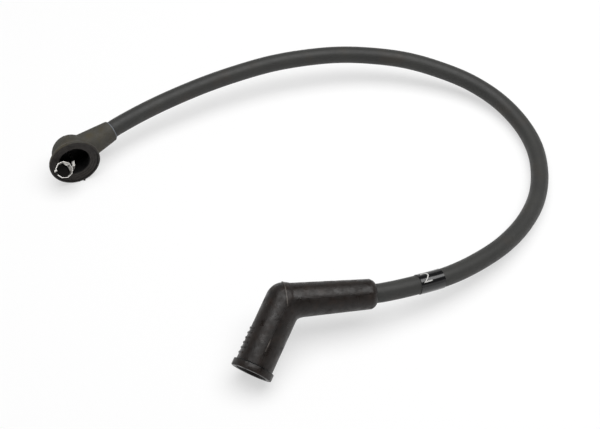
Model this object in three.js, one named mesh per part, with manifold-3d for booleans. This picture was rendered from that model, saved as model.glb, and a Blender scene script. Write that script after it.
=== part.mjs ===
// One ignition lead for a car engine: a spark plug wire with a right-angle boot at each end.
// Millimetres, +Z up. The lead lies on the plane z = 0 as it was pictured, and the origin is on
// that plane, under the middle of the two boots. -Y is the side that both boot mouths face.
import * as THREE from 'three';
import { mergeVertices } from 'three/addons/utils/BufferGeometryUtils.js';
import Module from 'manifold-3d';

const wasm = await Module();
wasm.setup();

// Wire
const JACKET_R = 3.5;
const JACKET_SIDES = 12;
const JACKET_STEPS = 78;
const STRAND_R = 0.35;
const STRAND_SIDES = 8;
// The wire's free route, from the sleeve of the coil boot to the arm of the plug boot.
const ROUTE = [
  [-39.1, 58.8, 11.1], [-27.4, 67.8, 11.7], [-15.2, 75.4, 12.5],
  [-2.7, 82.4, 13], [10.3, 88.4, 13.5], [23.8, 93.4, 14], [37.3, 96.9, 14], [51.8, 99.4, 13.5],
  [66.3, 99.9, 12.5], [81.3, 98.2, 11.4], [95.3, 94.4, 9.5], [108.1, 88.7, 7.5], [119.2, 79.9, 5.5],
  [127.3, 67.9, 4.2], [131.6, 54.5, 3.6], [131.8, 39.9, 3.6], [128.6, 26, 4.2], [122, 13.1, 5.2],
  [113.1, 1.7, 6.8], [102.2, -8, 8.5], [90.3, -16.1, 10.5], [77.3, -22.1, 12.5], [65.4, -26.5, 14.2],
];
// Where the jacket ends in each boot, and the points that keep it straight there, all measured
// along the sleeve or arm
const COIL_WIRE_AT = [7, 11, 15, 18.5];
const PLUG_WIRE_AT = [31, 23, 14, 5.4];

// Gaps that the pieces keep to each other
const SLEEVE_GAP = 0.15;
const CRIMP_GAP = 0.1;
const CRIMP_ROOM_GAP = 0.3;

// The sheet that both terminals are folded from, and their crimps round the jacket
const SHEET = 0.42;
const STRAP_W = 2.6;
const STRAP_LAP = 1;
const CRIMP_L = 5;
const CRIMP_SEAM_W = 1.5;
const CRIMP_IN_R = JACKET_R + CRIMP_GAP;
const CRIMP_OUT_R = CRIMP_IN_R + SHEET;

// Bores that the sleeve and the arm close round the wire with, and the wider room for a crimp
const WIRE_BORE_R = JACKET_R + SLEEVE_GAP;
const CRIMP_ROOM_R = CRIMP_OUT_R + CRIMP_ROOM_GAP;
const CRIMP_ROOM_PAST = 1;

// Coil boot, measured along the axis of its cup from where the axis of its sleeve crosses it
const COIL_CENTRE = new THREE.Vector3(-55.4, 45.1, 9.7);
const COIL_MOUTH_WAY = new THREE.Vector3(0.37, -0.924, 0.098);
const COIL_SLEEVE_WAY = new THREE.Vector3(0.76, 0.64, 0.05);
const CUP_BORE_R = 6.1;
const CUP_WALL = 1.7;
const DOME_R = CUP_BORE_R + CUP_WALL;
const DOME_AT = -0.3;
const DOME_STEPS = 9;
const CUP_RIM_R = 10.2;
const CUP_RIM_AT = 5.6;
const CUP_RIM_H = 1.2;
const CUP_LIP_W = 0.9;
const CUP_LIP_H = 0.45;
const CUP_LIP_SLOPE = 0.2;
const CUP_FACE_DROP = 0.5;
const CUP_MOUTH_ROUND = 0.3;
const CUP_FLARE_RISE = 1.8;
const CUP_FLARE_FROM = DOME_AT + CUP_FLARE_RISE;
const CUP_FLARE_START = 0.35;
const CUP_NECK = 0.9;
const CUP_FLOOR_AT = -6.3;
const FLOOR_CORNER_R = 2.4;
const FLOOR_CORNER_H = 1.3;
const FLOOR_SLOPE_R = 0.7;
const FLOOR_SLOPE_H = 3.2;
const COIL_SLEEVE_L = 19.2;
const COIL_SLEEVE_WALL = 0.55;
const COIL_SLEEVE_R = WIRE_BORE_R + COIL_SLEEVE_WALL;
const COIL_SLEEVE_TAPER = 0.11;
const SLEEVE_CHAMFER = 0.5;

// Coil terminal, in the coil boot's own frame
const CROWN_R = 3.45;
const CROWN_H = 2.2;
const CROWN_FACETS = 9;
const CROWN_SPLIT_W = 1.5;
const CROWN_MOUTH = new THREE.Vector3(-4.93, 1.6, 9.05);
const CROWN_WAY = new THREE.Vector3(0.24, 0.74, 0.63);
// One side of the crown's wall runs further back, as a leaf
const CROWN_LEAF_H = 5.2;
const CROWN_LEAF_TURN = Math.PI / 6;
const CROWN_LEAF_FROM = 2.3;
const COIL_CRIMP_AHEAD = 0.6;
const COIL_CRIMP_FROM = COIL_WIRE_AT[0] + COIL_CRIMP_AHEAD;
const COIL_STRAP_FROM = -0.6;
// The stem's bends, from the crown down to the strap, and the way across it
const STEM = [[-2.6, -1, 8.5], [-0.1, -3.56, 5.42], [-0.07, -3.35, 0.04], [-1.1, -0.9, -3.9]];
const STEM_W = 1.56;
const STEM_ACROSS = new THREE.Vector3(0.66, 0.75, 0);

// Plug boot, measured along the axis of its leg from where the axis of its arm crosses it
const PLUG_ELBOW = new THREE.Vector3(30.2, -33, 17.9);
const PLUG_MOUTH_WAY = new THREE.Vector3(-0.41, -0.82, -0.39);
const PLUG_ARM_WAY = new THREE.Vector3(0.98, 0.173, -0.101);
const SOCKET_R = 5.25;
const SOCKET_DEPTH = 16;
const SOCKET_FLARE = 0.5;
const SOCKET_SHOULDER_H = 0.8;
const LEG_WALL = 1.55;
const LEG_R = SOCKET_R + LEG_WALL;
const LEG_L = 27.8;
const COLLAR_OUT = 0.8;
const COLLAR_R = LEG_R + COLLAR_OUT;
const COLLAR_H = 2.6;
const COLLAR_FILLET = 0.3;
const COLLAR_CHAMFER = 0.2;
const ARM_L = 33;
const ARM_WALL = 1.75;
const ARM_R = WIRE_BORE_R + ARM_WALL;
const ARM_TAPER = 0.03;
const ARM_ROOT_R = ARM_R + ARM_TAPER * ARM_L;
const ARM_NOSE = [[0, 1.6], [0.5, 0.7], [1.2, 0]];
const ELBOW_BEND_R = 10.5;
const ELBOW_FILL_R = 6.2;
const ELBOW_FILL_PAST = 1;
const ELBOW_STEPS = 10;
const ELBOW_WALL = 1.65;
const GRIP_RIBS = 6;
const GRIP_PITCH = 1.85;
const GRIP_FIRST_AT = 13.5;
const GRIP_RIB_T = 0.8;
const GRIP_RIB_H = 0.35;
const GRIP_RIB_ROOT = 1;
const GRIP_ARC = 0.9;

// Plug terminal, in the plug boot's own frame
const SNAP_R = 3.85;
const SNAP_FROM = 4.4;
const SNAP_TO = 12.6;
const SNAP_SLIT_W = 0.8;
const SNAP_SLIT_L = 4.7;
const SNAP_WAIST = 0.35;
const SNAP_WAIST_H = 0.6;
const SNAP_ROOM_GAP = 0.65;
const TERMINAL_ROOM_R = SNAP_R + SNAP_ROOM_GAP;
const PLUG_CRIMP_AHEAD = 1;
const PLUG_CRIMP_FROM = PLUG_WIRE_AT.at(-1) + PLUG_CRIMP_AHEAD;
const PLUG_STRAP_FROM = -2.1;
const STRAP_BEND_AT = -2.7;

// Bared strands at the ends of the conductor
const STRAND_RISE = 1.15;
const STRAND_STEPS = 26;

// Number band on the wire, measured along it from its end in the coil boot
const BAND_AT = 307.8;
const BAND_L = 9.8;
const BAND_T = 0.2;
const BAND_GAP = 0.05;
const BAND_STEPS = 4;

const TURN_SIDES = 36;
const FINE_SIDES = 24;
const BEYOND = 2;

// A closed solid of a geometry, with its shared corners merged and its empty triangles left out.
function solid(geometry) {
  const bare = geometry.clone();
  bare.deleteAttribute('normal');
  bare.deleteAttribute('uv');
  const merged = mergeVertices(bare, 1e-4);
  const corners = merged.index.array;
  const kept = [];
  for (let i = 0; i < corners.length; i += 3) {
    const [a, b, c] = [corners[i], corners[i + 1], corners[i + 2]];
    if (a !== b && b !== c && c !== a) kept.push(a, b, c);
  }
  return new wasm.Manifold(new wasm.Mesh({
    numProp: 3,
    vertProperties: new Float32Array(merged.attributes.position.array),
    triVerts: new Uint32Array(kept),
  }));
}

function geometryOf(manifold) {
  const mesh = manifold.getMesh();
  const geometry = new THREE.BufferGeometry();
  geometry.setAttribute('position', new THREE.BufferAttribute(mesh.vertProperties, 3));
  geometry.setIndex(new THREE.BufferAttribute(mesh.triVerts, 1));
  geometry.computeVertexNormals();
  return geometry;
}

// A body turned round Z. The profile is [radius, z] pairs, upwards on the outside.
function turned(profile, sides = TURN_SIDES) {
  const points = profile.map(([r, z]) => new THREE.Vector2(r, z));
  return new THREE.LatheGeometry(points, sides).rotateX(Math.PI / 2);
}

function block(x, y, z) {
  const size = new THREE.Vector3(x[1] - x[0], y[1] - y[0], z[1] - z[0]);
  const box = new THREE.BoxGeometry(size.x, size.y, size.z);
  return box.translate((x[0] + x[1]) / 2, (y[0] + y[1]) / 2, (z[0] + z[1]) / 2);
}

// Moves a geometry that is made along Z so that its Z runs along a direction.
function along(geometry, way, origin = new THREE.Vector3()) {
  const turn = new THREE.Quaternion().setFromUnitVectors(new THREE.Vector3(0, 0, 1), way);
  return geometry.applyQuaternion(turn).translate(origin.x, origin.y, origin.z);
}

function sweep(curve, radius, sides, steps) {
  const shape = new THREE.Shape().absarc(0, 0, radius, 0, 2 * Math.PI);
  const section = new THREE.Shape(shape.getSpacedPoints(sides).slice(0, sides));
  return new THREE.ExtrudeGeometry(section, { steps, bevelEnabled: false, extrudePath: curve });
}

// A boot's own frame: Z out of its mouth, X towards its sleeve, and the sleeve in the XZ plane.
class BootFrame {
  constructor(centre, mouthWay, sleeveWay) {
    this.centre = centre;
    this.z = mouthWay.clone().normalize();
    this.way = sleeveWay.clone().normalize();
    const share = this.way.dot(this.z);
    this.x = this.way.clone().addScaledVector(this.z, -share).normalize();
    this.y = new THREE.Vector3().crossVectors(this.z, this.x);
    this.sleeve = new THREE.Vector3(Math.sqrt(1 - share * share), 0, share);
  }

  // The way across the sleeve, in the boot's own frame, that is nearest to the mouth
  get up() {
    return new THREE.Vector3(-this.sleeve.z, 0, this.sleeve.x);
  }

  // Turns a geometry made with Z along the wire and X towards the mouth into the boot's frame
  alongSleeve(geometry) {
    const side = new THREE.Vector3().crossVectors(this.sleeve, this.up);
    return geometry.applyMatrix4(new THREE.Matrix4().makeBasis(this.up, side, this.sleeve));
  }

  // A point on the axis of the sleeve, in the lead's frame
  onSleeve(distance) {
    return this.centre.clone().addScaledVector(this.way, distance);
  }

  group(...meshes) {
    const group = new THREE.Group();
    group.position.copy(this.centre);
    const turn = new THREE.Matrix4().makeBasis(this.x, this.y, this.z);
    group.quaternion.setFromRotationMatrix(turn);
    return group.add(...meshes);
  }
}

const coil = new BootFrame(COIL_CENTRE, COIL_MOUTH_WAY, COIL_SLEEVE_WAY);
const plug = new BootFrame(PLUG_ELBOW, PLUG_MOUTH_WAY, PLUG_ARM_WAY);

const rubber = new THREE.MeshStandardMaterial({ color: 0x5b5853, roughness: 0.85, metalness: 0 });
const darkRubber = new THREE.MeshStandardMaterial({ color: 0x2f2b28, roughness: 0.6, metalness: 0 });
const silicone = new THREE.MeshStandardMaterial({ color: 0x444442, roughness: 0.55, metalness: 0 });
const steel = new THREE.MeshStandardMaterial({ color: 0xb9b7b4, roughness: 0.35, metalness: 0.9 });
const gloss = new THREE.MeshStandardMaterial({ color: 0x161517, roughness: 0.2, metalness: 0 });

function piece(name, shape, material) {
  const geometry = shape.isBufferGeometry ? shape : geometryOf(shape);
  const mesh = new THREE.Mesh(geometry, material);
  mesh.name = name;
  return mesh;
}

// The bore that a sleeve closes round the wire with, and the wider room for the crimp behind it
function wireBore(frame, sleeveLength, crimpFrom) {
  const roomTo = crimpFrom + CRIMP_L + CRIMP_ROOM_PAST;
  const cut = turned([
    [0, 0],
    [CRIMP_ROOM_R, 0],
    [CRIMP_ROOM_R, roomTo - (CRIMP_ROOM_R - WIRE_BORE_R)],
    [WIRE_BORE_R, roomTo],
    [WIRE_BORE_R, sleeveLength + BEYOND],
    [0, sleeveLength + BEYOND],
  ]);
  return solid(frame.alongSleeve(cut));
}

// Coil boot: a flared cup with a domed back, and a short tapering sleeve for the wire
function coilBoot() {
  const dome = [[0, DOME_AT - DOME_R]];
  for (let i = 1; i <= DOME_STEPS; i += 1) {
    const turn = (Math.PI / 2) * (i / DOME_STEPS - 1);
    dome.push([DOME_R * Math.cos(turn), DOME_AT + DOME_R * Math.sin(turn)]);
  }
  const rimFrom = CUP_RIM_AT - CUP_RIM_H;
  const cup = solid(turned([
    ...dome,
    [DOME_R + CUP_FLARE_START, CUP_FLARE_FROM],
    [CUP_RIM_R - CUP_NECK, rimFrom - CUP_NECK],
    [CUP_RIM_R, rimFrom],
    [CUP_RIM_R, CUP_RIM_AT],
    [0, CUP_RIM_AT],
  ]));

  const rootR = COIL_SLEEVE_R + COIL_SLEEVE_TAPER * (COIL_SLEEVE_L - SLEEVE_CHAMFER);
  const sleeve = solid(coil.alongSleeve(turned([
    [0, 0],
    [rootR, 0],
    [COIL_SLEEVE_R, COIL_SLEEVE_L - SLEEVE_CHAMFER],
    [COIL_SLEEVE_R - SLEEVE_CHAMFER / 2, COIL_SLEEVE_L],
    [0, COIL_SLEEVE_L],
  ])));

  const lipIn = CUP_RIM_R - CUP_LIP_W;
  const faceAt = CUP_RIM_AT - CUP_LIP_H;
  const mouthAt = faceAt - CUP_FACE_DROP;
  const hollow = solid(turned([
    [0, CUP_FLOOR_AT],
    [CUP_BORE_R - FLOOR_CORNER_R, CUP_FLOOR_AT],
    [CUP_BORE_R - FLOOR_SLOPE_R, CUP_FLOOR_AT + FLOOR_CORNER_H],
    [CUP_BORE_R, CUP_FLOOR_AT + FLOOR_SLOPE_H],
    [CUP_BORE_R, mouthAt - CUP_MOUTH_ROUND],
    [CUP_BORE_R + CUP_MOUTH_ROUND, mouthAt],
    [lipIn - CUP_LIP_SLOPE, faceAt],
    [lipIn, CUP_RIM_AT],
    [lipIn, CUP_RIM_AT + BEYOND],
    [0, CUP_RIM_AT + BEYOND],
  ]));
  const bore = wireBore(coil, COIL_SLEEVE_L, COIL_CRIMP_FROM);
  return cup.add(sleeve).subtract(hollow).subtract(bore);
}

// A crimp barrel of folded sheet round the jacket, open along a seam on the side of the mouth
function crimp(frame, from) {
  const to = from + CRIMP_L;
  const barrel = solid(turned([
    [CRIMP_IN_R, from], [CRIMP_OUT_R, from], [CRIMP_OUT_R, to], [CRIMP_IN_R, to], [CRIMP_IN_R, from],
  ], FINE_SIDES));
  const seam = solid(block(
    [0, CRIMP_OUT_R + BEYOND],
    [-CRIMP_SEAM_W / 2, CRIMP_SEAM_W / 2],
    [from - BEYOND, to + BEYOND],
  ));
  return solid(frame.alongSleeve(geometryOf(barrel.subtract(seam))));
}

// The strap that runs under the jacket's end into the crimp
function strap(frame, from, crimpFrom) {
  return solid(frame.alongSleeve(block(
    [-CRIMP_OUT_R, -CRIMP_IN_R], [-STRAP_W / 2, STRAP_W / 2], [from, crimpFrom + STRAP_LAP],
  )));
}

// A flat stretch of the stem between two of its bends
function stemPart(from, to) {
  const way = to.clone().sub(from).normalize();
  const across = STEM_ACROSS.clone().addScaledVector(way, -way.dot(STEM_ACROSS)).normalize();
  const face = new THREE.Vector3().crossVectors(way, across);
  const length = from.distanceTo(to) + SHEET;
  const strip = new THREE.BoxGeometry(STEM_W, SHEET, length);
  strip.applyMatrix4(new THREE.Matrix4().makeBasis(across, face, way));
  const middle = from.clone().lerp(to, 1 / 2);
  return solid(strip.translate(middle.x, middle.y, middle.z));
}

// Coil terminal: one folded sheet, with a split crown, a bent stem, a strap and the crimp
function coilTerminal() {
  const way = CROWN_WAY.clone().normalize();
  const wall = CROWN_R - SHEET;
  const ring = solid(turned([
    [wall, -CROWN_LEAF_H], [CROWN_R, -CROWN_LEAF_H], [CROWN_R, 0], [wall, 0], [wall, -CROWN_LEAF_H],
  ], CROWN_FACETS));
  const outer = CROWN_R + BEYOND;
  const split = solid(block(
    [-outer, 0], [-CROWN_SPLIT_W / 2, CROWN_SPLIT_W / 2], [-CROWN_H - BEYOND, BEYOND],
  ));
  const besideLeaf = solid(block(
    [-outer, CROWN_LEAF_FROM], [-outer, outer], [-CROWN_LEAF_H - BEYOND, -CROWN_H],
  ).rotateZ(CROWN_LEAF_TURN));
  const crown = ring.subtract(split).subtract(besideLeaf);
  let terminal = solid(along(geometryOf(crown), way, CROWN_MOUTH));
  const bends = STEM.map((bend) => new THREE.Vector3(...bend));
  for (let i = 1; i < bends.length; i += 1) {
    terminal = terminal.add(stemPart(bends[i - 1], bends[i]));
  }
  return terminal
    .add(strap(coil, COIL_STRAP_FROM, COIL_CRIMP_FROM))
    .add(crimp(coil, COIL_CRIMP_FROM));
}

// The bend on the inside of the elbow, from the leg's axis to the arm's
function elbowFill() {
  const half = (Math.PI - Math.acos(plug.sleeve.z)) / 2;
  const reach = ELBOW_BEND_R * Math.tan(half) + ELBOW_FILL_PAST;
  const bend = new THREE.QuadraticBezierCurve3(
    new THREE.Vector3(0, 0, reach), new THREE.Vector3(), plug.sleeve.clone().multiplyScalar(reach),
  );
  return solid(sweep(bend, ELBOW_FILL_R, FINE_SIDES, ELBOW_STEPS));
}

// One low rib on the back of the leg, across the side away from the arm
function gripRib(at) {
  const inner = LEG_R - GRIP_RIB_ROOT;
  const outer = LEG_R + GRIP_RIB_H;
  const hoop = solid(turned([
    [inner, at - GRIP_RIB_T / 2],
    [outer, at - GRIP_RIB_T / 4],
    [outer, at + GRIP_RIB_T / 4],
    [inner, at + GRIP_RIB_T / 2],
    [inner, at - GRIP_RIB_T / 2],
  ]));
  const reach = LEG_R * Math.sin(GRIP_ARC / 2);
  const sector = solid(block([-LEG_R - BEYOND, 0], [-reach, reach], [at - BEYOND, at + BEYOND]));
  return hoop.intersect(sector);
}

// Plug boot: a leg that grips the plug, with a collar at its mouth, and an arm for the wire
function plugBoot() {
  const collarFrom = LEG_L - COLLAR_H;
  const leg = solid(turned([
    [0, 0],
    [LEG_R, 0],
    [LEG_R, collarFrom - COLLAR_FILLET],
    [COLLAR_R - COLLAR_CHAMFER, collarFrom],
    [COLLAR_R, collarFrom + COLLAR_CHAMFER],
    [COLLAR_R, LEG_L],
    [0, LEG_L],
  ]));
  const elbow = solid(new THREE.SphereGeometry(LEG_R, TURN_SIDES, TURN_SIDES / 2).rotateX(Math.PI / 2));
  const nose = ARM_NOSE.map(([inset, back]) => [ARM_R - inset, ARM_L - back]);
  const arm = solid(plug.alongSleeve(turned([[0, 0], [ARM_ROOT_R, 0], ...nose, [0, ARM_L]])));
  let boot = leg.add(elbow).add(arm).add(elbowFill());
  for (let i = 0; i < GRIP_RIBS; i += 1) boot = boot.add(gripRib(GRIP_FIRST_AT + i * GRIP_PITCH));

  const socketFloor = LEG_L - SOCKET_DEPTH;
  const hollow = solid(turned([
    [0, 0],
    [TERMINAL_ROOM_R, 0],
    [TERMINAL_ROOM_R, socketFloor],
    [SOCKET_R, socketFloor + SOCKET_SHOULDER_H],
    [SOCKET_R, LEG_L - SOCKET_FLARE],
    [SOCKET_R + SOCKET_FLARE, LEG_L],
    [SOCKET_R + SOCKET_FLARE, LEG_L + BEYOND],
    [0, LEG_L + BEYOND],
  ]));
  const bendRoom = solid(new THREE.SphereGeometry(LEG_R - ELBOW_WALL, FINE_SIDES, FINE_SIDES / 2));
  const bore = wireBore(plug, ARM_L, PLUG_CRIMP_FROM);
  return boot.subtract(hollow).subtract(bendRoom).subtract(bore);
}

// Plug terminal: one folded sheet, with a slit snap socket for the plug's nut, a strap and the crimp
function plugTerminal() {
  const wall = SNAP_R - SHEET;
  const waistAt = SNAP_TO - SNAP_WAIST_H;
  const waistFrom = waistAt - SNAP_WAIST_H;
  let snap = solid(turned([
    [wall, SNAP_FROM],
    [SNAP_R, SNAP_FROM],
    [SNAP_R, waistFrom],
    [SNAP_R - SNAP_WAIST, waistAt],
    [SNAP_R, SNAP_TO],
    [wall, SNAP_TO],
    [wall - SNAP_WAIST, waistAt],
    [wall, waistFrom],
    [wall, SNAP_FROM],
  ], FINE_SIDES));
  const slitX = [-SNAP_SLIT_W / 2, SNAP_SLIT_W / 2];
  const slits = [
    block([-SNAP_R - BEYOND, SNAP_R + BEYOND], slitX, [SNAP_TO - SNAP_SLIT_L, SNAP_TO + BEYOND]),
    block(slitX, [-SNAP_R - BEYOND, 0], [SNAP_FROM - BEYOND, SNAP_TO + BEYOND]),
  ];
  for (const slit of slits) snap = snap.subtract(solid(slit));
  // The strap leaves the socket's wall on the outside of the bend and runs under the wire.
  const back = solid(block(
    [-SNAP_R, -wall], [-STRAP_W / 2, STRAP_W / 2], [STRAP_BEND_AT, SNAP_FROM + STRAP_LAP],
  ));
  return snap.add(back)
    .add(strap(plug, PLUG_STRAP_FROM, PLUG_CRIMP_FROM))
    .add(crimp(plug, PLUG_CRIMP_FROM));
}

// A bared strand that leaves the jacket's end and is folded back under the crimp's seam
function strand(frame, jacketEnd, crimpFrom) {
  const across = CRIMP_IN_R + STRAND_R;
  const at = (x, l) => frame.up.multiplyScalar(x).addScaledVector(frame.sleeve, l);
  const path = new THREE.CatmullRomCurve3([
    at(0, jacketEnd - STRAND_RISE / 10),
    at(STRAND_R / 3, jacketEnd - STRAND_RISE * 0.6),
    at(STRAND_RISE * 0.8, jacketEnd - STRAND_RISE),
    at(across - STRAND_RISE * 0.8, jacketEnd - STRAND_RISE),
    at(across - STRAND_R / 3, jacketEnd - STRAND_RISE / 2),
    at(across, jacketEnd + STRAND_R),
    at(across, crimpFrom + CRIMP_L - STRAND_R),
  ]);
  return sweep(path, STRAND_R, STRAND_SIDES, STRAND_STEPS);
}

const route = new THREE.CatmullRomCurve3([
  ...COIL_WIRE_AT.map((distance) => coil.onSleeve(distance)),
  ...ROUTE.map((p) => new THREE.Vector3(...p)),
  ...PLUG_WIRE_AT.map((distance) => plug.onSleeve(distance)),
]);

// A stretch of the wire's route, from a distance along it and with a length
function stretch(from, length, pieces) {
  const points = [];
  for (let i = 0; i <= pieces; i += 1) {
    points.push(route.getPointAt((from + (length * i) / pieces) / route.getLength()));
  }
  return new THREE.CatmullRomCurve3(points);
}

// A thin printed sleeve that is shrunk on the jacket
function numberBand() {
  const inner = JACKET_R + BAND_GAP;
  const over = stretch(BAND_AT, BAND_L, BAND_STEPS);
  const through = stretch(BAND_AT - BEYOND, BAND_L + 2 * BEYOND, BAND_STEPS + 2);
  const sleeve = solid(sweep(over, inner + BAND_T, FINE_SIDES, BAND_STEPS));
  const core = solid(sweep(through, inner, FINE_SIDES, BAND_STEPS + 2));
  return sleeve.subtract(core);
}

const wire = piece('ignition_wire', sweep(route, JACKET_R, JACKET_SIDES, JACKET_STEPS), silicone);
const band = piece('number_band', numberBand(), gloss);

const coilGroup = coil.group(
  piece('coil_boot', coilBoot(), rubber),
  piece('coil_terminal', coilTerminal(), steel),
  piece('coil_strand', strand(coil, COIL_WIRE_AT[0], COIL_CRIMP_FROM), steel),
);
const plugGroup = plug.group(
  piece('plug_boot', plugBoot(), darkRubber),
  piece('plug_terminal', plugTerminal(), steel),
  piece('plug_strand', strand(plug, PLUG_WIRE_AT.at(-1), PLUG_CRIMP_FROM), steel),
);

const lead = new THREE.Group();
lead.add(wire, band, coilGroup, plugGroup);

export default lead;
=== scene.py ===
"""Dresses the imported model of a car's ignition lead and sets up its studio.

The lead has a cupped boot at its coil end, an angled boot at its plug end, a folded sheet terminal
in each, and a wire with a printed band between them. Sizes are in millimetres in each part's own
frame, and every finished piece is in metres in the model's frame.
"""

from __future__ import annotations

import logging
import math
from dataclasses import dataclass, field
from enum import Enum
from typing import Sequence

import bmesh
import bpy
from mathutils import Matrix, Vector


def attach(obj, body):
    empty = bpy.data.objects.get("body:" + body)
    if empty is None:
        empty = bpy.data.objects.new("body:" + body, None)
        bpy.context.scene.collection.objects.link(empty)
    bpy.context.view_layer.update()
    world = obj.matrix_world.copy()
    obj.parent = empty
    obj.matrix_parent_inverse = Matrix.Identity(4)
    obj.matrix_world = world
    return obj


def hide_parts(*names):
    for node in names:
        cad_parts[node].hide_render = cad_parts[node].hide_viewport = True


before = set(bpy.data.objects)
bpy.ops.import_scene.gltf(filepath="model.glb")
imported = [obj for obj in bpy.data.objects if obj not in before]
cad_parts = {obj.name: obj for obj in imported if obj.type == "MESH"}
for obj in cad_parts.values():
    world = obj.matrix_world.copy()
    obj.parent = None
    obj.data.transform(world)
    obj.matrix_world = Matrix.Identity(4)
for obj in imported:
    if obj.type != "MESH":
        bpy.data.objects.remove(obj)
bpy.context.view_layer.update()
LOG = logging.getLogger("lead")

MM = 0.001
SPARE = 1.0
CREASE = 38.0
Span = tuple[float, float]
Profile = Sequence[Span]


class Join(Enum):
    """What a solid does to another one."""

    ADD = "UNION"
    CUT = "DIFFERENCE"
    KEEP = "INTERSECT"


class Slot(Enum):
    """The record's material slots."""

    WIRE = "wire_jacket"
    COIL_RUBBER = "coil_rubber"
    PLUG_RUBBER = "plug_rubber"
    STEEL = "terminal_steel"
    BAND = "band_black"


# Modelling


def select_only(obj: bpy.types.Object) -> None:
    """Makes an object the only selected one, and the active one.

    Args:
        obj: The object.
    """
    for other in bpy.context.selected_objects:
        other.select_set(False)
    obj.select_set(True)
    bpy.context.view_layer.objects.active = obj


def drop_selection() -> None:
    """Deselects every object, so that a new primitive stands alone."""
    for other in bpy.context.selected_objects:
        other.select_set(False)
    bpy.context.view_layer.objects.active = None


def modify(obj: bpy.types.Object, kind: str, **settings: object) -> None:
    """Adds a modifier to obj, sets it and applies it.

    Args:
        obj: The mesh object.
        kind: The modifier's type.
        settings: Its properties by name.
    """
    select_only(obj)
    bpy.ops.object.modifier_add(type=kind)
    modifier = obj.modifiers[-1]
    for name, value in settings.items():
        setattr(modifier, name, value)
    bpy.ops.object.modifier_apply(modifier=modifier.name)


def transform(obj: bpy.types.Object, matrix: Matrix) -> bpy.types.Object:
    """Moves obj by a matrix and puts the move in its mesh.

    Args:
        obj: The object to move.
        matrix: From the obj's present frame to the new one.

    Returns:
        The same object, at the origin again.
    """
    obj.matrix_world = matrix @ obj.matrix_world
    select_only(obj)
    bpy.ops.object.transform_apply(location=True, rotation=True, scale=True)
    return obj


def tidy_mesh(obj: bpy.types.Object, merge: float) -> None:
    """Merges corners that meet, and turns every face outwards.

    Args:
        obj: The mesh object.
        merge: How near two corners merge.
    """
    select_only(obj)
    bpy.ops.object.mode_set(mode="EDIT")
    bpy.ops.mesh.select_all(action="SELECT")
    bpy.ops.mesh.remove_doubles(threshold=merge)
    bpy.ops.mesh.normals_make_consistent(inside=False)
    bpy.ops.object.mode_set(mode="OBJECT")


def turned(name: str, profile: Profile, sides: int, ring: bool = False) -> bpy.types.Object:
    """Turns a profile round Z, by extruding and widening a disc or a ring.

    Args:
        name: The new object's name.
        profile: Radius and height of each corner, from the low end.
        sides: How many faces go round.
        ring: Whether the last corner joins the first, as in a washer.

    Returns:
        The closed solid.
    """
    drop_selection()
    radius, height = profile[0]
    bpy.ops.mesh.primitive_circle_add(
        vertices=sides,
        radius=radius,
        fill_type="NOTHING" if ring else "NGON",
        location=(0, 0, height),
    )
    obj = bpy.context.object
    obj.name = name
    bpy.ops.object.transform_apply(location=True, rotation=True, scale=True)
    bpy.ops.object.mode_set(mode="EDIT")
    bpy.ops.mesh.select_all(action="SELECT")
    corners = list(profile[1:]) + ([profile[0]] if ring else [])
    for next_radius, next_height in corners:
        lift = (0, 0, next_height - height)
        if ring:
            bpy.ops.mesh.extrude_edges_move(TRANSFORM_OT_translate={"value": lift})
        else:
            bpy.ops.mesh.extrude_region_move(TRANSFORM_OT_translate={"value": lift})
        scale = next_radius / radius
        bpy.ops.transform.resize(value=(scale, scale, 1), center_override=(0, 0, next_height))
        radius, height = next_radius, next_height
    bpy.ops.object.mode_set(mode="OBJECT")
    tidy_mesh(obj, 1e-4)
    return obj


def bar(name: str, x: Span, y: Span, z: Span) -> bpy.types.Object:
    """Makes a straight bar.

    Args:
        name: The new object's name.
        x: Its limits along X.
        y: Its limits along Y.
        z: Its limits along Z.

    Returns:
        The bar, as a closed solid.
    """
    drop_selection()
    middle = ((x[0] + x[1]) / 2, (y[0] + y[1]) / 2, (z[0] + z[1]) / 2)
    bpy.ops.mesh.primitive_cube_add(size=1, location=middle)
    obj = bpy.context.object
    obj.name = name
    obj.scale = (x[1] - x[0], y[1] - y[0], z[1] - z[0])
    bpy.ops.object.transform_apply(location=True, rotation=True, scale=True)
    return obj


def combine(
    obj: bpy.types.Object, tool: bpy.types.Object, how: Join, solver: str = "EXACT"
) -> bpy.types.Object:
    """Joins, cuts or trims an object with a tool, and keeps both finishes.

    Args:
        obj: The object to change.
        tool: The other solid, which is used up.
        how: What the tool does.
        solver: The modifier's way to work it out.

    Returns:
        The changed object.
    """
    modify(
        obj, "BOOLEAN", object=tool, operation=how.value, solver=solver, material_mode="TRANSFER"
    )
    bpy.data.objects.remove(tool)
    return obj


def copy_of(obj: bpy.types.Object, name: str) -> bpy.types.Object:
    """Copies an object with a mesh of its own.

    Args:
        obj: The object to copy.
        name: The copy's name.

    Returns:
        The copy.
    """
    twin = obj.copy()
    twin.data = obj.data.copy()
    twin.name = name
    bpy.context.scene.collection.objects.link(twin)
    return twin


def join_into(obj: bpy.types.Object, *others: bpy.types.Object) -> bpy.types.Object:
    """Puts other objects' meshes into an object as they are.

    Args:
        obj: The object that takes them.
        others: The objects that are used up.

    Returns:
        The same object.
    """
    select_only(obj)
    for other in others:
        other.select_set(True)
    bpy.ops.object.join()
    return obj


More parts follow.
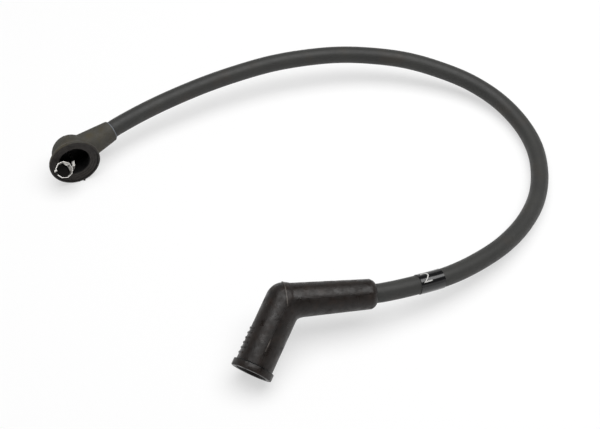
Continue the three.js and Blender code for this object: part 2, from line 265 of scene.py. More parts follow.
def smooth_near(obj: bpy.types.Object, near: Sequence[Vector], reach: float, rounds: int) -> None:
    """Softens obj's surface round some points, as a mould's fillet does.

    Args:
        obj: The mesh object.
        near: The points that it is softened round.
        reach: How far from them the softening fades out.
        rounds: How often it is smoothed.
    """
    group = obj.vertex_groups.new(name="fillet")
    for vertex in obj.data.vertices:
        distance = min((vertex.co - point).length for point in near)
        weight = max(0.0, min(1.0, 2 * (1 - distance / reach)))
        if weight > 0:
            group.add([vertex.index], weight, "REPLACE")
    modify(obj, "SMOOTH", factor=0.5, iterations=rounds, vertex_group="fillet")
    obj.vertex_groups.remove(obj.vertex_groups["fillet"])


def seam_ridge(
    body: bpy.types.Object,
    slab: bpy.types.Object,
    height: float,
    name: str,
    material: bpy.types.Material | None = None,
) -> bpy.types.Object:
    """Makes the thin ridge that two mould halves leave where a slab crosses a body.

    Args:
        body: The moulded body.
        slab: A thin bar along the mould's joint, which is used up.
        height: How far the ridge stands proud.
        name: The ridge's name.
        material: The ridge's finish, where it isn't the body's.

    Returns:
        The ridge, with its root in the body.
    """
    proud = copy_of(body, name)
    if material:
        dressed(proud, material)
        dressed(slab, material)
    modify(proud, "DISPLACE", strength=height, mid_level=0, direction="NORMAL")
    return combine(proud, slab, Join.KEEP)


def surface_by_angle(obj: bpy.types.Object, degrees: float) -> None:
    """Shades an object smooth, except over sharp edges.

    Args:
        obj: The mesh object.
        degrees: The angle from which an edge is sharp.
    """
    select_only(obj)
    bpy.ops.object.shade_smooth_by_angle(angle=math.radians(degrees))


def dressed(obj: bpy.types.Object, material: bpy.types.Material) -> bpy.types.Object:
    """Gives an object one material in place of all it had.

    Args:
        obj: The object.
        material: Its only material.

    Returns:
        The same object.
    """
    obj.data.materials.clear()
    obj.data.materials.append(material)
    return obj


# Frames and the wire's route


@dataclass(frozen=True)
class BootFrame:
    """A boot's own frame: Z out of its mouth, X towards its sleeve, the sleeve in the XZ plane."""

    centre: tuple[float, float, float]
    mouth_way: tuple[float, float, float]
    sleeve_way: tuple[float, float, float]

    @property
    def axes(self) -> tuple[Vector, Vector, Vector]:
        """The frame's three axes in the model's frame.

        Returns:
            X, Y and Z, in that order.
        """
        z = Vector(self.mouth_way).normalized()
        way = Vector(self.sleeve_way).normalized()
        x = (way - z * way.dot(z)).normalized()
        return x, z.cross(x), z

    @property
    def sleeve_axis(self) -> Vector:
        """The way along the sleeve, in the model's frame."""
        return Vector(self.sleeve_way).normalized()

    @property
    def sleeve(self) -> Vector:
        """The way along the sleeve, in the boot's own frame."""
        share = Vector(self.sleeve_way).normalized().dot(Vector(self.mouth_way).normalized())
        return Vector((math.sqrt(1 - share * share), 0, share))

    @property
    def to_model(self) -> Matrix:
        """From the boot's own frame in millimetres to the model's in metres."""
        turn = Matrix(self.axes).transposed().to_4x4()
        return Matrix.Scale(MM, 4) @ Matrix.Translation(self.centre) @ turn

    @property
    def along_sleeve(self) -> Matrix:
        """From Z along the wire and X towards the mouth to the boot's own frame.

        Returns:
            The matrix, without a move.
        """
        z = self.sleeve
        x = Vector((-z.z, 0, z.x))
        return Matrix((x, z.cross(x), z)).transposed().to_4x4()

    def on_sleeve(self, distance: float) -> Vector:
        """Finds a point on the sleeve's axis.

        Args:
            distance: How far it is from the boot's centre, in millimetres.

        Returns:
            The point in the model's frame, in millimetres.
        """
        return Vector(self.centre) + self.sleeve_axis * distance


COIL = BootFrame((-55.4, 45.1, 9.7), (0.37, -0.924, 0.098), (0.76, 0.64, 0.05))
PLUG = BootFrame((30.2, -33, 17.9), (-0.41, -0.82, -0.39), (0.98, 0.173, -0.101))


class Route:
    """The wire's centre line: a smooth curve through given points, in metres."""

    FREE: tuple[tuple[float, float, float], ...] = (
        (-0.0391, 0.0588, 0.0111), (-0.0274, 0.0678, 0.0117), (-0.0152, 0.0754, 0.0125),
        (-0.0027, 0.0824, 0.0130), (0.0103, 0.0884, 0.0135), (0.0238, 0.0934, 0.0140),
        (0.0373, 0.0969, 0.0140), (0.0518, 0.0994, 0.0135), (0.0663, 0.0999, 0.0125),
        (0.0813, 0.0982, 0.0114), (0.0953, 0.0944, 0.0095), (0.1081, 0.0887, 0.0075),
        (0.1192, 0.0799, 0.0055), (0.1273, 0.0679, 0.0042), (0.1316, 0.0545, 0.0036),
        (0.1318, 0.0399, 0.0036), (0.1286, 0.0260, 0.0042), (0.1220, 0.0131, 0.0052),
        (0.1131, 0.0017, 0.0068), (0.1022, -0.0080, 0.0085), (0.0903, -0.0161, 0.0105),
        (0.0773, -0.0221, 0.0125), (0.0654, -0.0265, 0.0142),
    )
    IN_COIL_BOOT = (7, 11, 15, 18.5)
    IN_PLUG_BOOT = (31, 23, 14, 5.4)
    STEPS_A_SPAN = 8

    def __init__(self) -> None:
        """Lays the curve out as short straight steps."""
        knots = [COIL.on_sleeve(distance) * MM for distance in self.IN_COIL_BOOT]
        knots += [Vector(point) for point in self.FREE]
        knots += [PLUG.on_sleeve(distance) * MM for distance in self.IN_PLUG_BOOT]
        first = knots[0] * 2 - knots[1]
        last = knots[-1] * 2 - knots[-2]
        ends = [first, *knots, last]
        self.points: list[Vector] = []
        for index in range(len(knots) - 1):
            span = ends[index : index + 4]
            for step in range(self.STEPS_A_SPAN):
                self.points.append(self._between(span, step / self.STEPS_A_SPAN))
        self.points.append(knots[-1])
        self.reach = [0.0]
        for here, there in zip(self.points, self.points[1:]):
            self.reach.append(self.reach[-1] + (there - here).length)

    @staticmethod
    def _between(span: Sequence[Vector], share: float) -> Vector:
        """Finds a point between the middle two of four knots, with centripetal spacing.

        Args:
            span: The four knots.
            share: How far it is from the second knot to the third, from 0 to 1.

        Returns:
            The point on the curve.
        """
        gaps = [math.sqrt((b - a).length) for a, b in zip(span, span[1:])]
        before, here, there, after = span
        leave = (
            (here - before) / gaps[0]
            - (there - before) / (gaps[0] + gaps[1])
            + (there - here) / gaps[1]
        ) * gaps[1]
        arrive = (
            (there - here) / gaps[1]
            - (after - here) / (gaps[1] + gaps[2])
            + (after - there) / gaps[2]
        ) * gaps[1]
        square = 3 * (there - here) - 2 * leave - arrive
        cube = 2 * (here - there) + leave + arrive
        return here + leave * share + square * share**2 + cube * share**3

    @property
    def length(self) -> float:
        """The wire's whole length in metres."""
        return self.reach[-1]

    def at(self, distance: float) -> Vector:
        """Finds the point at a distance along the wire.

        Args:
            distance: The distance in metres.

        Returns:
            The point, in metres.
        """
        for index in range(1, len(self.reach)):
            if self.reach[index] >= distance:
                low, high = self.reach[index - 1], self.reach[index]
                share = (distance - low) / (high - low)
                return self.points[index - 1].lerp(self.points[index], share)
        return self.points[-1]

    def frame_at(self, distance: float, towards: Vector) -> tuple[Vector, Vector, Vector, Vector]:
        """The point at a distance along the wire, and the wire's axes there.

        Args:
            distance: How far along the wire, in metres.
            towards: The way that the second axis leans to.

        Returns:
            The point, the way along the wire, the way out of it nearest to towards, and the way
            across both.
        """
        step = 0.002
        way = (self.at(distance + step) - self.at(distance - step)).normalized()
        out = (towards - way * towards.dot(way)).normalized()
        return self.at(distance), way, out, way.cross(out)


# Finishes


def srgb(red: int, green: int, blue: int) -> tuple[float, float, float, float]:
    """Turns a screen colour into the linear colour that a shader takes.

    Args:
        red: The red share, from 0 to 255.
        green: The green share.
        blue: The blue share.

    Returns:
        The linear colour, with full cover.
    """
    shares = [value / 255 for value in (red, green, blue)]
    linear = [s / 12.92 if s <= 0.04045 else ((s + 0.055) / 1.055) ** 2.4 for s in shares]
    return (linear[0], linear[1], linear[2], 1.0)


class Graph:
    """Adds nodes to a node tree by type, with their settings and links."""

    def __init__(self, tree: bpy.types.NodeTree) -> None:
        """Starts on a node tree."""
        self.tree = tree

    def add(self, kind: str, inputs: dict | None = None, **settings: object) -> bpy.types.Node:
        """Adds a node.

        Args:
            kind: The node's type without its ShaderNode prefix, or a whole type name.
            inputs: Values or output sockets for its inputs, by name or number.
            settings: Its own properties.

        Returns:
            The node.
        """
        name = kind if kind.startswith("Node") else "ShaderNode" + kind
        node = self.tree.nodes.new(name)
        for key, value in settings.items():
            setattr(node, key, value)
        for key, value in (inputs or {}).items():
            if isinstance(value, bpy.types.NodeSocket):
                self.tree.links.new(value, node.inputs[key])
            else:
                node.inputs[key].default_value = value
        return node

    def maths(self, what: str, a: object, b: object = 0.0, clamp: bool = False) -> bpy.types.NodeSocket:
        """Does a sum on two values or sockets.

        Args:
            what: The sum's name.
            a: The first value.
            b: The second value.
            clamp: Whether the result is held between 0 and 1.

        Returns:
            The result's socket.
        """
        return self.add("Math", {0: a, 1: b}, operation=what, use_clamp=clamp).outputs[0]

    def dot(self, a: object, b: object) -> bpy.types.NodeSocket:
        """The dot product of two vectors."""
        return self.add("VectorMath", {0: a, 1: b}, operation="DOT_PRODUCT").outputs["Value"]

    def noise(
        self, scale: object, detail: float = 3, rough: float = 0.5, at: object = None
    ) -> bpy.types.NodeSocket:
        """Adds noise on the piece's own coordinates, or on others.

        Args:
            scale: How fine it is.
            detail: How many finer layers it has.
            rough: How strong those are.
            at: The coordinates, if they aren't the piece's own.

        Returns:
            The noise value's socket.
        """
        where = at or self.add("TexCoord").outputs["Object"]
        node = self.add(
            "TexNoise", {"Vector": where, "Scale": scale, "Detail": detail, "Roughness": rough}
        )
        return node.outputs["Fac"]

    def ramp(
        self, value: object, low: object, high: object, to_low: object = 0.0, to_high: object = 1.0
    ) -> bpy.types.NodeSocket:
        """Maps a value from one range to another, held at its ends.

        Args:
            value: The value.
            low: Where the first range starts.
            high: Where the first range ends.
            to_low: What the start becomes.
            to_high: What the end becomes.

        Returns:
            The mapped value's socket.
        """
        inputs = {0: value, 1: low, 2: high, 3: to_low, 4: to_high}
        return self.add("MapRange", inputs, clamp=True).outputs[0]

    def blend(self, share: object, a: object, b: object, how: str = "MIX") -> bpy.types.NodeSocket:
        """Mixes two colours.

        Args:
            share: How much of the second colour is taken.
            a: The first colour.
            b: The second colour.
            how: The kind of mix.

        Returns:
            The mixed colour's socket.
        """
        node = self.add("Mix", data_type="RGBA", blend_type=how)
        for socket, value in ((node.inputs[0], share), (node.inputs[6], a), (node.inputs[7], b)):
            if isinstance(value, bpy.types.NodeSocket):
                self.tree.links.new(value, socket)
            else:
                socket.default_value = value
        return node.outputs[2]


class Effect:
    """A shader node group that is built once and placed in each material that uses it."""

    name = ""
    takes: tuple[tuple[str, str, object], ...] = ()
    gives: tuple[tuple[str, str], ...] = ()

    @classmethod
    def tree(cls) -> bpy.types.NodeTree:
        """Gives the group, which is built on first use.

        Returns:
            The group's node tree.
        """
        found = bpy.data.node_groups.get(cls.name)
        if found:
            return found
        tree = bpy.data.node_groups.new(cls.name, "ShaderNodeTree")
        for name, kind, value in cls.takes:
            socket = tree.interface.new_socket(name, in_out="INPUT", socket_type=kind)
            socket.default_value = value
        for name, kind in cls.gives:
            tree.interface.new_socket(name, in_out="OUTPUT", socket_type=kind)
        graph = Graph(tree)
        inside = graph.add("NodeGroupInput")
        results = cls.make(graph, inside)
        out = graph.add("NodeGroupOutput")
        for name, socket in results.items():
            tree.links.new(socket, out.inputs[name])
        return tree

    @classmethod
    def make(cls, graph: Graph, inside: bpy.types.Node) -> dict[str, bpy.types.NodeSocket]:
        """Builds the group's nodes.

        Args:
            graph: The group's own graph.
            inside: The node that gives the group's inputs.

        Returns:
            The results by name.
        """
        raise NotImplementedError

    @classmethod
    def place(cls, graph: Graph, **values: object) -> bpy.types.Node:
        """Places the group in a material's graph.

        Args:
            graph: The material's graph.
            values: Values or sockets for the group's inputs, with _ for a space.

        Returns:
            The placed node.
        """
        node = graph.add("Group", node_tree=cls.tree())
        for name, value in values.items():
            socket = node.inputs[name.replace("_", " ")]
            if isinstance(value, bpy.types.NodeSocket):
                graph.tree.links.new(value, socket)
            else:
                socket.default_value = value
        return node


class Mottle(Effect):
    """Uneven colour of moulded rubber: broad clouds, stained patches and a fine speckle."""

    name = "mottled_colour"
    takes = (
        ("Base", "NodeSocketColor", (0.1, 0.1, 0.1, 1)),
        ("Cloud", "NodeSocketColor", (0.2, 0.2, 0.2, 1)),
        ("Patch", "NodeSocketColor", (0.1, 0.1, 0.05, 1)),
        ("Cloud size", "NodeSocketFloat", 160.0),
        ("Patch size", "NodeSocketFloat", 320.0),
        ("Patch share", "NodeSocketFloat", 0.4),
    )
    gives = (("Colour", "NodeSocketColor"), ("Mask", "NodeSocketFloat"))

    @classmethod
    def make(cls, graph: Graph, inside: bpy.types.Node) -> dict[str, bpy.types.NodeSocket]:
        """Lays clouds, then patches, then speckle over the base colour.

        Args:
            graph: The group's own graph.
            inside: The node that gives the group's inputs.

        Returns:
            The results by name.
        """
        give = inside.outputs
        clouds = graph.ramp(graph.noise(give["Cloud size"], 4, 0.55), 0.35, 0.7)
        base = graph.blend(clouds, give["Base"], give["Cloud"])
        blotch = graph.ramp(graph.noise(give["Patch size"], 2, 0.4), 0.52, 0.7)
        mask = graph.maths("MULTIPLY", blotch, give["Patch share"])
        stained = graph.blend(mask, base, give["Patch"])
        speck = graph.ramp(graph.noise(2600.0, 2, 0.6), 0.3, 0.7, 0.88, 1.1)
        grey = graph.add("CombineColor", {0: speck, 1: speck, 2: speck}).outputs[0]
        return {"Colour": graph.blend(1.0, stained, grey, "MULTIPLY"), "Mask": blotch}


class Grain(Effect):
    """Surface relief of moulded rubber: a fine skin, shallow dents and pits."""

    name = "moulded_grain"
    takes = (
        ("Skin size", "NodeSocketFloat", 2200.0),
        ("Skin", "NodeSocketFloat", 0.3),
        ("Dent size", "NodeSocketFloat", 500.0),
        ("Dent", "NodeSocketFloat", 1.0),
        ("Pits", "NodeSocketFloat", 0.4),
    )
    gives = (("Height", "NodeSocketFloat"),)

    @classmethod
    def make(cls, graph: Graph, inside: bpy.types.Node) -> dict[str, bpy.types.NodeSocket]:
        """Adds up three sizes of relief.

        Args:
            graph: The group's own graph.
            inside: The node that gives the group's inputs.

        Returns:
            The results by name.
        """
        give = inside.outputs
        skin = graph.maths("MULTIPLY", graph.noise(give["Skin size"], 3, 0.6), give["Skin"])
        dent = graph.maths("MULTIPLY", graph.noise(give["Dent size"], 2, 0.5), give["Dent"])
        where = graph.add("TexCoord").outputs["Object"]
        cells = graph.add("TexVoronoi", {"Vector": where, "Scale": 900.0}).outputs["Distance"]
        pits = graph.maths("MULTIPLY", graph.ramp(cells, 0.0, 0.16), give["Pits"])
        height = graph.maths("ADD", graph.maths("ADD", skin, dent), pits)
        return {"Height": height}


class Rub(Effect):
    """Where handling has rubbed edges pale, broken up by noise."""

    name = "rubbed_edges"
    takes = (
        ("Low", "NodeSocketFloat", 0.57),
        ("High", "NodeSocketFloat", 0.66),
        ("Amount", "NodeSocketFloat", 0.6),
    )
    gives = (("Mask", "NodeSocketFloat"),)

    @classmethod
    def make(cls, graph: Graph, inside: bpy.types.Node) -> dict[str, bpy.types.NodeSocket]:
        """Takes the outward edges and breaks them up.

        Args:
            graph: The group's own graph.
            inside: The node that gives the group's inputs.

        Returns:
            The results by name.
        """
        give = inside.outputs
        point = graph.add("NewGeometry").outputs["Pointiness"]
        edge = graph.ramp(point, give["Low"], give["High"])
        broken = graph.ramp(graph.noise(700.0, 3, 0.6), 0.3, 0.65, 0.35, 1.0)
        mask = graph.maths("MULTIPLY", graph.maths("MULTIPLY", edge, broken), give["Amount"], True)
        return {"Mask": mask}


class Streaks(Effect):
    """Fine streaks along one axis, as from drawing or rolling."""

    name = "drawn_streaks"
    takes = (("Stretch", "NodeSocketVector", (1.0, 1.0, 0.05)), ("Size", "NodeSocketFloat", 3000.0))
    gives = (("Streak", "NodeSocketFloat"), ("Fleck", "NodeSocketFloat"))

    @classmethod
    def make(cls, graph: Graph, inside: bpy.types.Node) -> dict[str, bpy.types.NodeSocket]:
        """Stretches noise, and adds plain flecks.

        Args:
            graph: The group's own graph.
            inside: The node that gives the group's inputs.

        Returns:
            The results by name.
        """
        give = inside.outputs
        where = graph.add("TexCoord").outputs["Object"]
        long = graph.add("VectorMath", {0: where, 1: give["Stretch"]}, operation="MULTIPLY").outputs[0]
        streak = graph.noise(give["Size"], 4, 0.6, long)
        return {"Streak": streak, "Fleck": graph.ramp(graph.noise(900.0, 4, 0.7), 0.45, 0.7)}


def start_material(name: str) -> tuple[bpy.types.Material, Graph, bpy.types.Node]:
    """Makes a material that holds only a Principled shader.

    Args:
        name: The material's name.

    Returns:
        The material, its graph and the shader.
    """
    material = bpy.data.materials.new(name)
    material.use_nodes = True
    material.node_tree.nodes.clear()
    graph = Graph(material.node_tree)
    shader = graph.add("BsdfPrincipled")
    graph.add("OutputMaterial", {"Surface": shader.outputs[0]})
    return material, graph, shader


class Beyond(Effect):
    """Where a piece lies beyond a plane and faces the plane's own way."""

    name = "beyond_plane"
    takes = (
        ("Way", "NodeSocketVector", (0.0, 0.0, 1.0)),
        ("From", "NodeSocketFloat", 0.0),
        ("Soft", "NodeSocketFloat", 0.0003),
        ("Facing", "NodeSocketFloat", 0.5),
    )
    gives = (("Mask", "NodeSocketFloat"),)
    fade = 0.2

    @classmethod
    def make(cls, graph: Graph, inside: bpy.types.Node) -> dict[str, bpy.types.NodeSocket]:
        """Measures the place and the surface's way along the plane's own.

        Args:
            graph: The group's own graph.
            inside: The node that gives the group's inputs.

        Returns:
            The results by name.
        """
        give = inside.outputs
        where = graph.add("TexCoord").outputs["Object"]
        out = graph.add("NewGeometry").outputs["True Normal"]
        reach = graph.dot(where, give["Way"])
        facing = graph.dot(out, give["Way"])
        far = graph.ramp(reach, give["From"], graph.maths("ADD", give["From"], give["Soft"]))
        faces = graph.ramp(facing, give["Facing"], graph.maths("ADD", give["Facing"], cls.fade))
        broken = graph.ramp(graph.noise(900.0, 3, 0.6), 0.3, 0.6, 0.7, 1.0)
        return {"Mask": graph.maths("MULTIPLY", graph.maths("MULTIPLY", far, faces), broken, True)}


class InsideShade(Effect):
    """Painted shade where a surface looks inwards, as the inside of a bored boot does."""

    name = "painted_inside_shade"
    takes = (("Centre", "NodeSocketVector", (0.0, 0.0, 0.0)),)
    gives = (("Mask", "NodeSocketFloat"),)
    from_inwards = -0.0002
    full_inwards = -0.0012

    @classmethod
    def make(cls, graph: Graph, inside: bpy.types.Node) -> dict[str, bpy.types.NodeSocket]:
        """Compares the surface's way with the way from the centre.

        Args:
            graph: The group's own graph.
            inside: The node that gives the group's inputs.

        Returns:
            The results by name.
        """
        where = graph.add("TexCoord").outputs["Object"]
        out = graph.add("NewGeometry").outputs["True Normal"]
        reach = graph.add("VectorMath", {0: where, 1: inside.outputs["Centre"]}, operation="SUBTRACT")
        away = graph.dot(reach.outputs[0], out)
        return {"Mask": graph.ramp(away, cls.from_inwards, cls.full_inwards)}


@dataclass(frozen=True)
class PaintedLightZone:
    """A part of a boot where shade or a highlight is painted into its colour.

    Attributes:
        way: The way that it lies in.
        start: Where it starts along that way, in metres from the model's origin.
        facing: The least share of that way in its surface's own.
        colour: The colour of the painted shade or highlight.
    """

    way: Vector
    start: float
    facing: float
    colour: tuple[int, int, int]


@dataclass(frozen=True)
class MouldedRubber:
    """Moulded rubber: mottled colour, grain, an uneven gloss, painted shade or highlight over zones,
    and painted shade where it looks inwards.
    """

    name: str
    base: tuple[int, int, int]
    cloud: tuple[int, int, int]
    patch: tuple[int, int, int]
    cloud_size: float
    patch_size: float
    patch_share: float
    dull: float
    glossy: float
    relief: float
    shine: float
    painted_light_zones: tuple[PaintedLightZone, ...] = ()
    # The frame whose inward-looking surfaces get painted shade, and the colour of that shade.
    hollow: BootFrame | None = None
    inside_shade_colour: tuple[int, int, int] = (10, 9, 9)

    def build(self) -> bpy.types.Material:
        """Builds the material.

        Returns:
            The material.
        """
        material, graph, shader = start_material(self.name)
        mottle = Mottle.place(
            graph,
            Base=srgb(*self.base),
            Cloud=srgb(*self.cloud),
            Patch=srgb(*self.patch),
            Cloud_size=self.cloud_size,
            Patch_size=self.patch_size,
            Patch_share=self.patch_share,
        )
        grain = Grain.place(graph)
        colour = mottle.outputs["Colour"]
        # Painted shade or highlight over each zone.
        for light_zone in self.painted_light_zones:
            beyond = Beyond.place(graph, Way=light_zone.way, From=light_zone.start, Facing=light_zone.facing)
            colour = graph.blend(beyond.outputs["Mask"], colour, srgb(*light_zone.colour))
        # Painted shade where the surface looks inwards, in the boot's bores and rooms.
        if self.hollow:
            painted_shade = InsideShade.place(graph, Centre=Vector(self.hollow.centre) * MM)
            colour = graph.blend(painted_shade.outputs["Mask"], colour, srgb(*self.inside_shade_colour))
        sheen = graph.ramp(graph.noise(420.0, 4, 0.6), 0.3, 0.7, self.glossy, self.dull)
        bump = graph.add(
            "Bump", {"Height": grain.outputs["Height"], "Distance": self.relief * MM, "Strength": 1.0}
        )
        links = graph.tree.links
        links.new(colour, shader.inputs["Base Color"])
        links.new(sheen, shader.inputs["Roughness"])
        links.new(bump.outputs[0], shader.inputs["Normal"])
        shader.inputs["Specular IOR Level"].default_value = self.shine
        return material


@dataclass(frozen=True)
class FoldedSteel:
    """Plated steel sheet with rolling streaks, flecks of tarnish, rubbed edges and, in a cup, painted
    shade over its deep part.
    """

    name: str = "plated_sheet"
    bright: tuple[int, int, int] = (196, 192, 188)
    tarnish: tuple[int, int, int] = (118, 108, 100)
    # Colour of the painted shade deep in the cup.
    cup_shade_colour: tuple[int, int, int] = (26, 24, 23)
    rough: tuple[float, float] = (0.28, 0.46)
    # The cup whose deep part gets painted shade, and the height over the cup's centre below which that
    # shade starts.
    shade_cup: BootFrame | None = None
    shade_below: float = 2.7

    def build(self) -> bpy.types.Material:
        """Builds the material.

        Returns:
            The material.
        """
        material, graph, shader = start_material(self.name)
        streaks = Streaks.place(graph, Stretch=(1.0, 0.08, 1.0), Size=2600.0)
        rub = Rub.place(graph, Amount=0.8)
        stain = graph.maths("MULTIPLY", streaks.outputs["Fleck"], 0.45)
        colour = graph.blend(stain, srgb(*self.bright), srgb(*self.tarnish))
        colour = graph.blend(rub.outputs["Mask"], colour, srgb(236, 234, 230))
        # Painted shade over the sheet that lies deep in the cup.
        if self.shade_cup:
            down = -self.shade_cup.axes[2]
            top = (Vector(self.shade_cup.centre).dot(down) - self.shade_below) * MM
            shaded_in_cup = Beyond.place(graph, Way=down, From=top, Facing=-2.0)
            colour = graph.blend(shaded_in_cup.outputs["Mask"], colour, srgb(*self.cup_shade_colour))
        rough = graph.ramp(streaks.outputs["Streak"], 0.3, 0.7, *self.rough)
        bump = graph.add(
            "Bump", {"Height": streaks.outputs["Streak"], "Distance": 0.01 * MM, "Strength": 0.6}
        )
        links = graph.tree.links
        links.new(colour, shader.inputs["Base Color"])
        links.new(rough, shader.inputs["Roughness"])
        links.new(bump.outputs[0], shader.inputs["Normal"])
        shader.inputs["Metallic"].default_value = 0.85
        return material


@dataclass(frozen=True)
class ConductorStrand:
    """Dark, twisted conductor thread."""

    name: str = "conductor_thread"

    def build(self) -> bpy.types.Material:
        """Builds the material.

        Returns:
            The material.
        """
        material, graph, shader = start_material(self.name)
        streaks = Streaks.place(graph, Stretch=(0.4, 1.0, 0.4), Size=5200.0)
        colour = graph.blend(streaks.outputs["Streak"], srgb(40, 38, 36), srgb(92, 86, 78))
        bump = graph.add(
            "Bump", {"Height": streaks.outputs["Streak"], "Distance": 0.04 * MM, "Strength": 1.0}
        )
        rough = graph.ramp(streaks.outputs["Fleck"], 0.0, 1.0, 0.55, 0.75)
        links = graph.tree.links
        links.new(colour, shader.inputs["Base Color"])
        links.new(rough, shader.inputs["Roughness"])
        links.new(bump.outputs[0], shader.inputs["Normal"])
        return material


@dataclass(frozen=True)
class GlossBand:
    """Shrunk gloss sleeve: near black, with light ripples from the shrinking."""

    name: str = "gloss_sleeve"

    def build(self) -> bpy.types.Material:
        """Builds the material.

        Returns:
            The material.
        """
        material, graph, shader = start_material(self.name)
        mottle = Mottle.place(
            graph,
            Base=srgb(12, 12, 14),
            Cloud=srgb(17, 17, 19),
            Patch=srgb(24, 23, 22),
            Cloud_size=420.0,
            Patch_size=900.0,
            Patch_share=0.3,
        )
        grain = Grain.place(graph, Skin=0.1, Dent_size=700.0, Dent=1.0, Pits=0.0)
        rough = graph.ramp(graph.noise(1100.0, 3, 0.6), 0.35, 0.7, 0.14, 0.26)
        bump = graph.add(
            "Bump", {"Height": grain.outputs["Height"], "Distance": 0.03 * MM, "Strength": 1.0}
        )
        links = graph.tree.links
        links.new(mottle.outputs["Colour"], shader.inputs["Base Color"])
        links.new(rough, shader.inputs["Roughness"])
        links.new(bump.outputs[0], shader.inputs["Normal"])
        shader.inputs["Coat Weight"].default_value = 1.0
        shader.inputs["Coat Roughness"].default_value = 0.1
        shader.inputs["Specular IOR Level"].default_value = 0.1
        return material


@dataclass(frozen=True)
class WhitePrint:
    """White ink, thin in places."""

    name: str = "white_ink"

    def build(self) -> bpy.types.Material:
        """Builds the material.

        Returns:
            The material.
        """
        material, graph, shader = start_material(self.name)
        mottle = Mottle.place(
            graph,
            Base=srgb(206, 205, 202),
            Cloud=srgb(186, 185, 182),
            Patch=srgb(120, 120, 118),
            Cloud_size=1500.0,
            Patch_size=2600.0,
            Patch_share=0.5,
        )
        rough = graph.ramp(mottle.outputs["Mask"], 0.0, 1.0, 0.4, 0.6)
        links = graph.tree.links
        links.new(mottle.outputs["Colour"], shader.inputs["Base Color"])
        links.new(rough, shader.inputs["Roughness"])
        return material


COIL_RUBBER = MouldedRubber(
    name="grey_brown_rubber",
    base=(61, 59, 54),
    cloud=(72, 70, 64),
    patch=(70, 64, 49),
    cloud_size=150.0,
    patch_size=190.0,
    patch_share=0.75,
    dull=0.8,
    glossy=0.6,
    relief=0.035,
    shine=0.3,
    painted_light_zones=(
        # Painted shade on the mouth's face.
        PaintedLightZone(COIL.axes[2], (Vector(COIL.centre).dot(COIL.axes[2]) + 4.3) * MM, 0.6, (47, 43, 41)),
        # Painted bluish highlight on the sleeve's chamfered end.
        PaintedLightZone(COIL.sleeve_axis, COIL.on_sleeve(18.6).dot(COIL.sleeve_axis) * MM, -2.0, (112, 116, 122)),
    ),
    # Painted shade inside the cup and the sleeve's bore.
    hollow=COIL,
)
PLUG_RUBBER = MouldedRubber(
    name="brown_black_rubber",
    base=(24, 20, 18),
    cloud=(33, 27, 24),
    patch=(40, 30, 25),
    cloud_size=170.0,
    patch_size=300.0,
    patch_share=0.6,
    dull=0.62,
    glossy=0.2,
    relief=0.09,
    shine=0.32,
    # Painted shade inside the boot's socket and rooms.
    hollow=PLUG,
)
# Near-black finish of the disc that stands for the shade inside the coil terminal's crown.
CROWN_SHADE_FLOOR = MouldedRubber(
    name="painted_shade_crown_floor",
    base=(12, 11, 10),
    cloud=(17, 15, 14),
    patch=(9, 8, 8),
    cloud_size=500.0,
    patch_size=900.0,
    patch_share=0.6,
    dull=0.85,
    glossy=0.7,
    relief=0.03,
    shine=0.1,
)
SEAM_RUBBER = MouldedRubber(
    name="pale_seam_rubber",
    base=(66, 60, 55),
    cloud=(92, 86, 80),
    patch=(44, 38, 34),
    cloud_size=500.0,
    patch_size=700.0,
    patch_share=0.8,
    dull=0.5,
    glossy=0.3,
    relief=0.03,
    shine=0.5,
)
JACKET = MouldedRubber(
    name="dark_grey_jacket",
    base=(55, 55, 54),
    cloud=(61, 61, 59),
    patch=(64, 58, 52),
    cloud_size=70.0,
    patch_size=120.0,
    patch_share=0.4,
    dull=0.56,
    glossy=0.42,
    relief=0.02,
    shine=0.26,
)


# The wire and its band


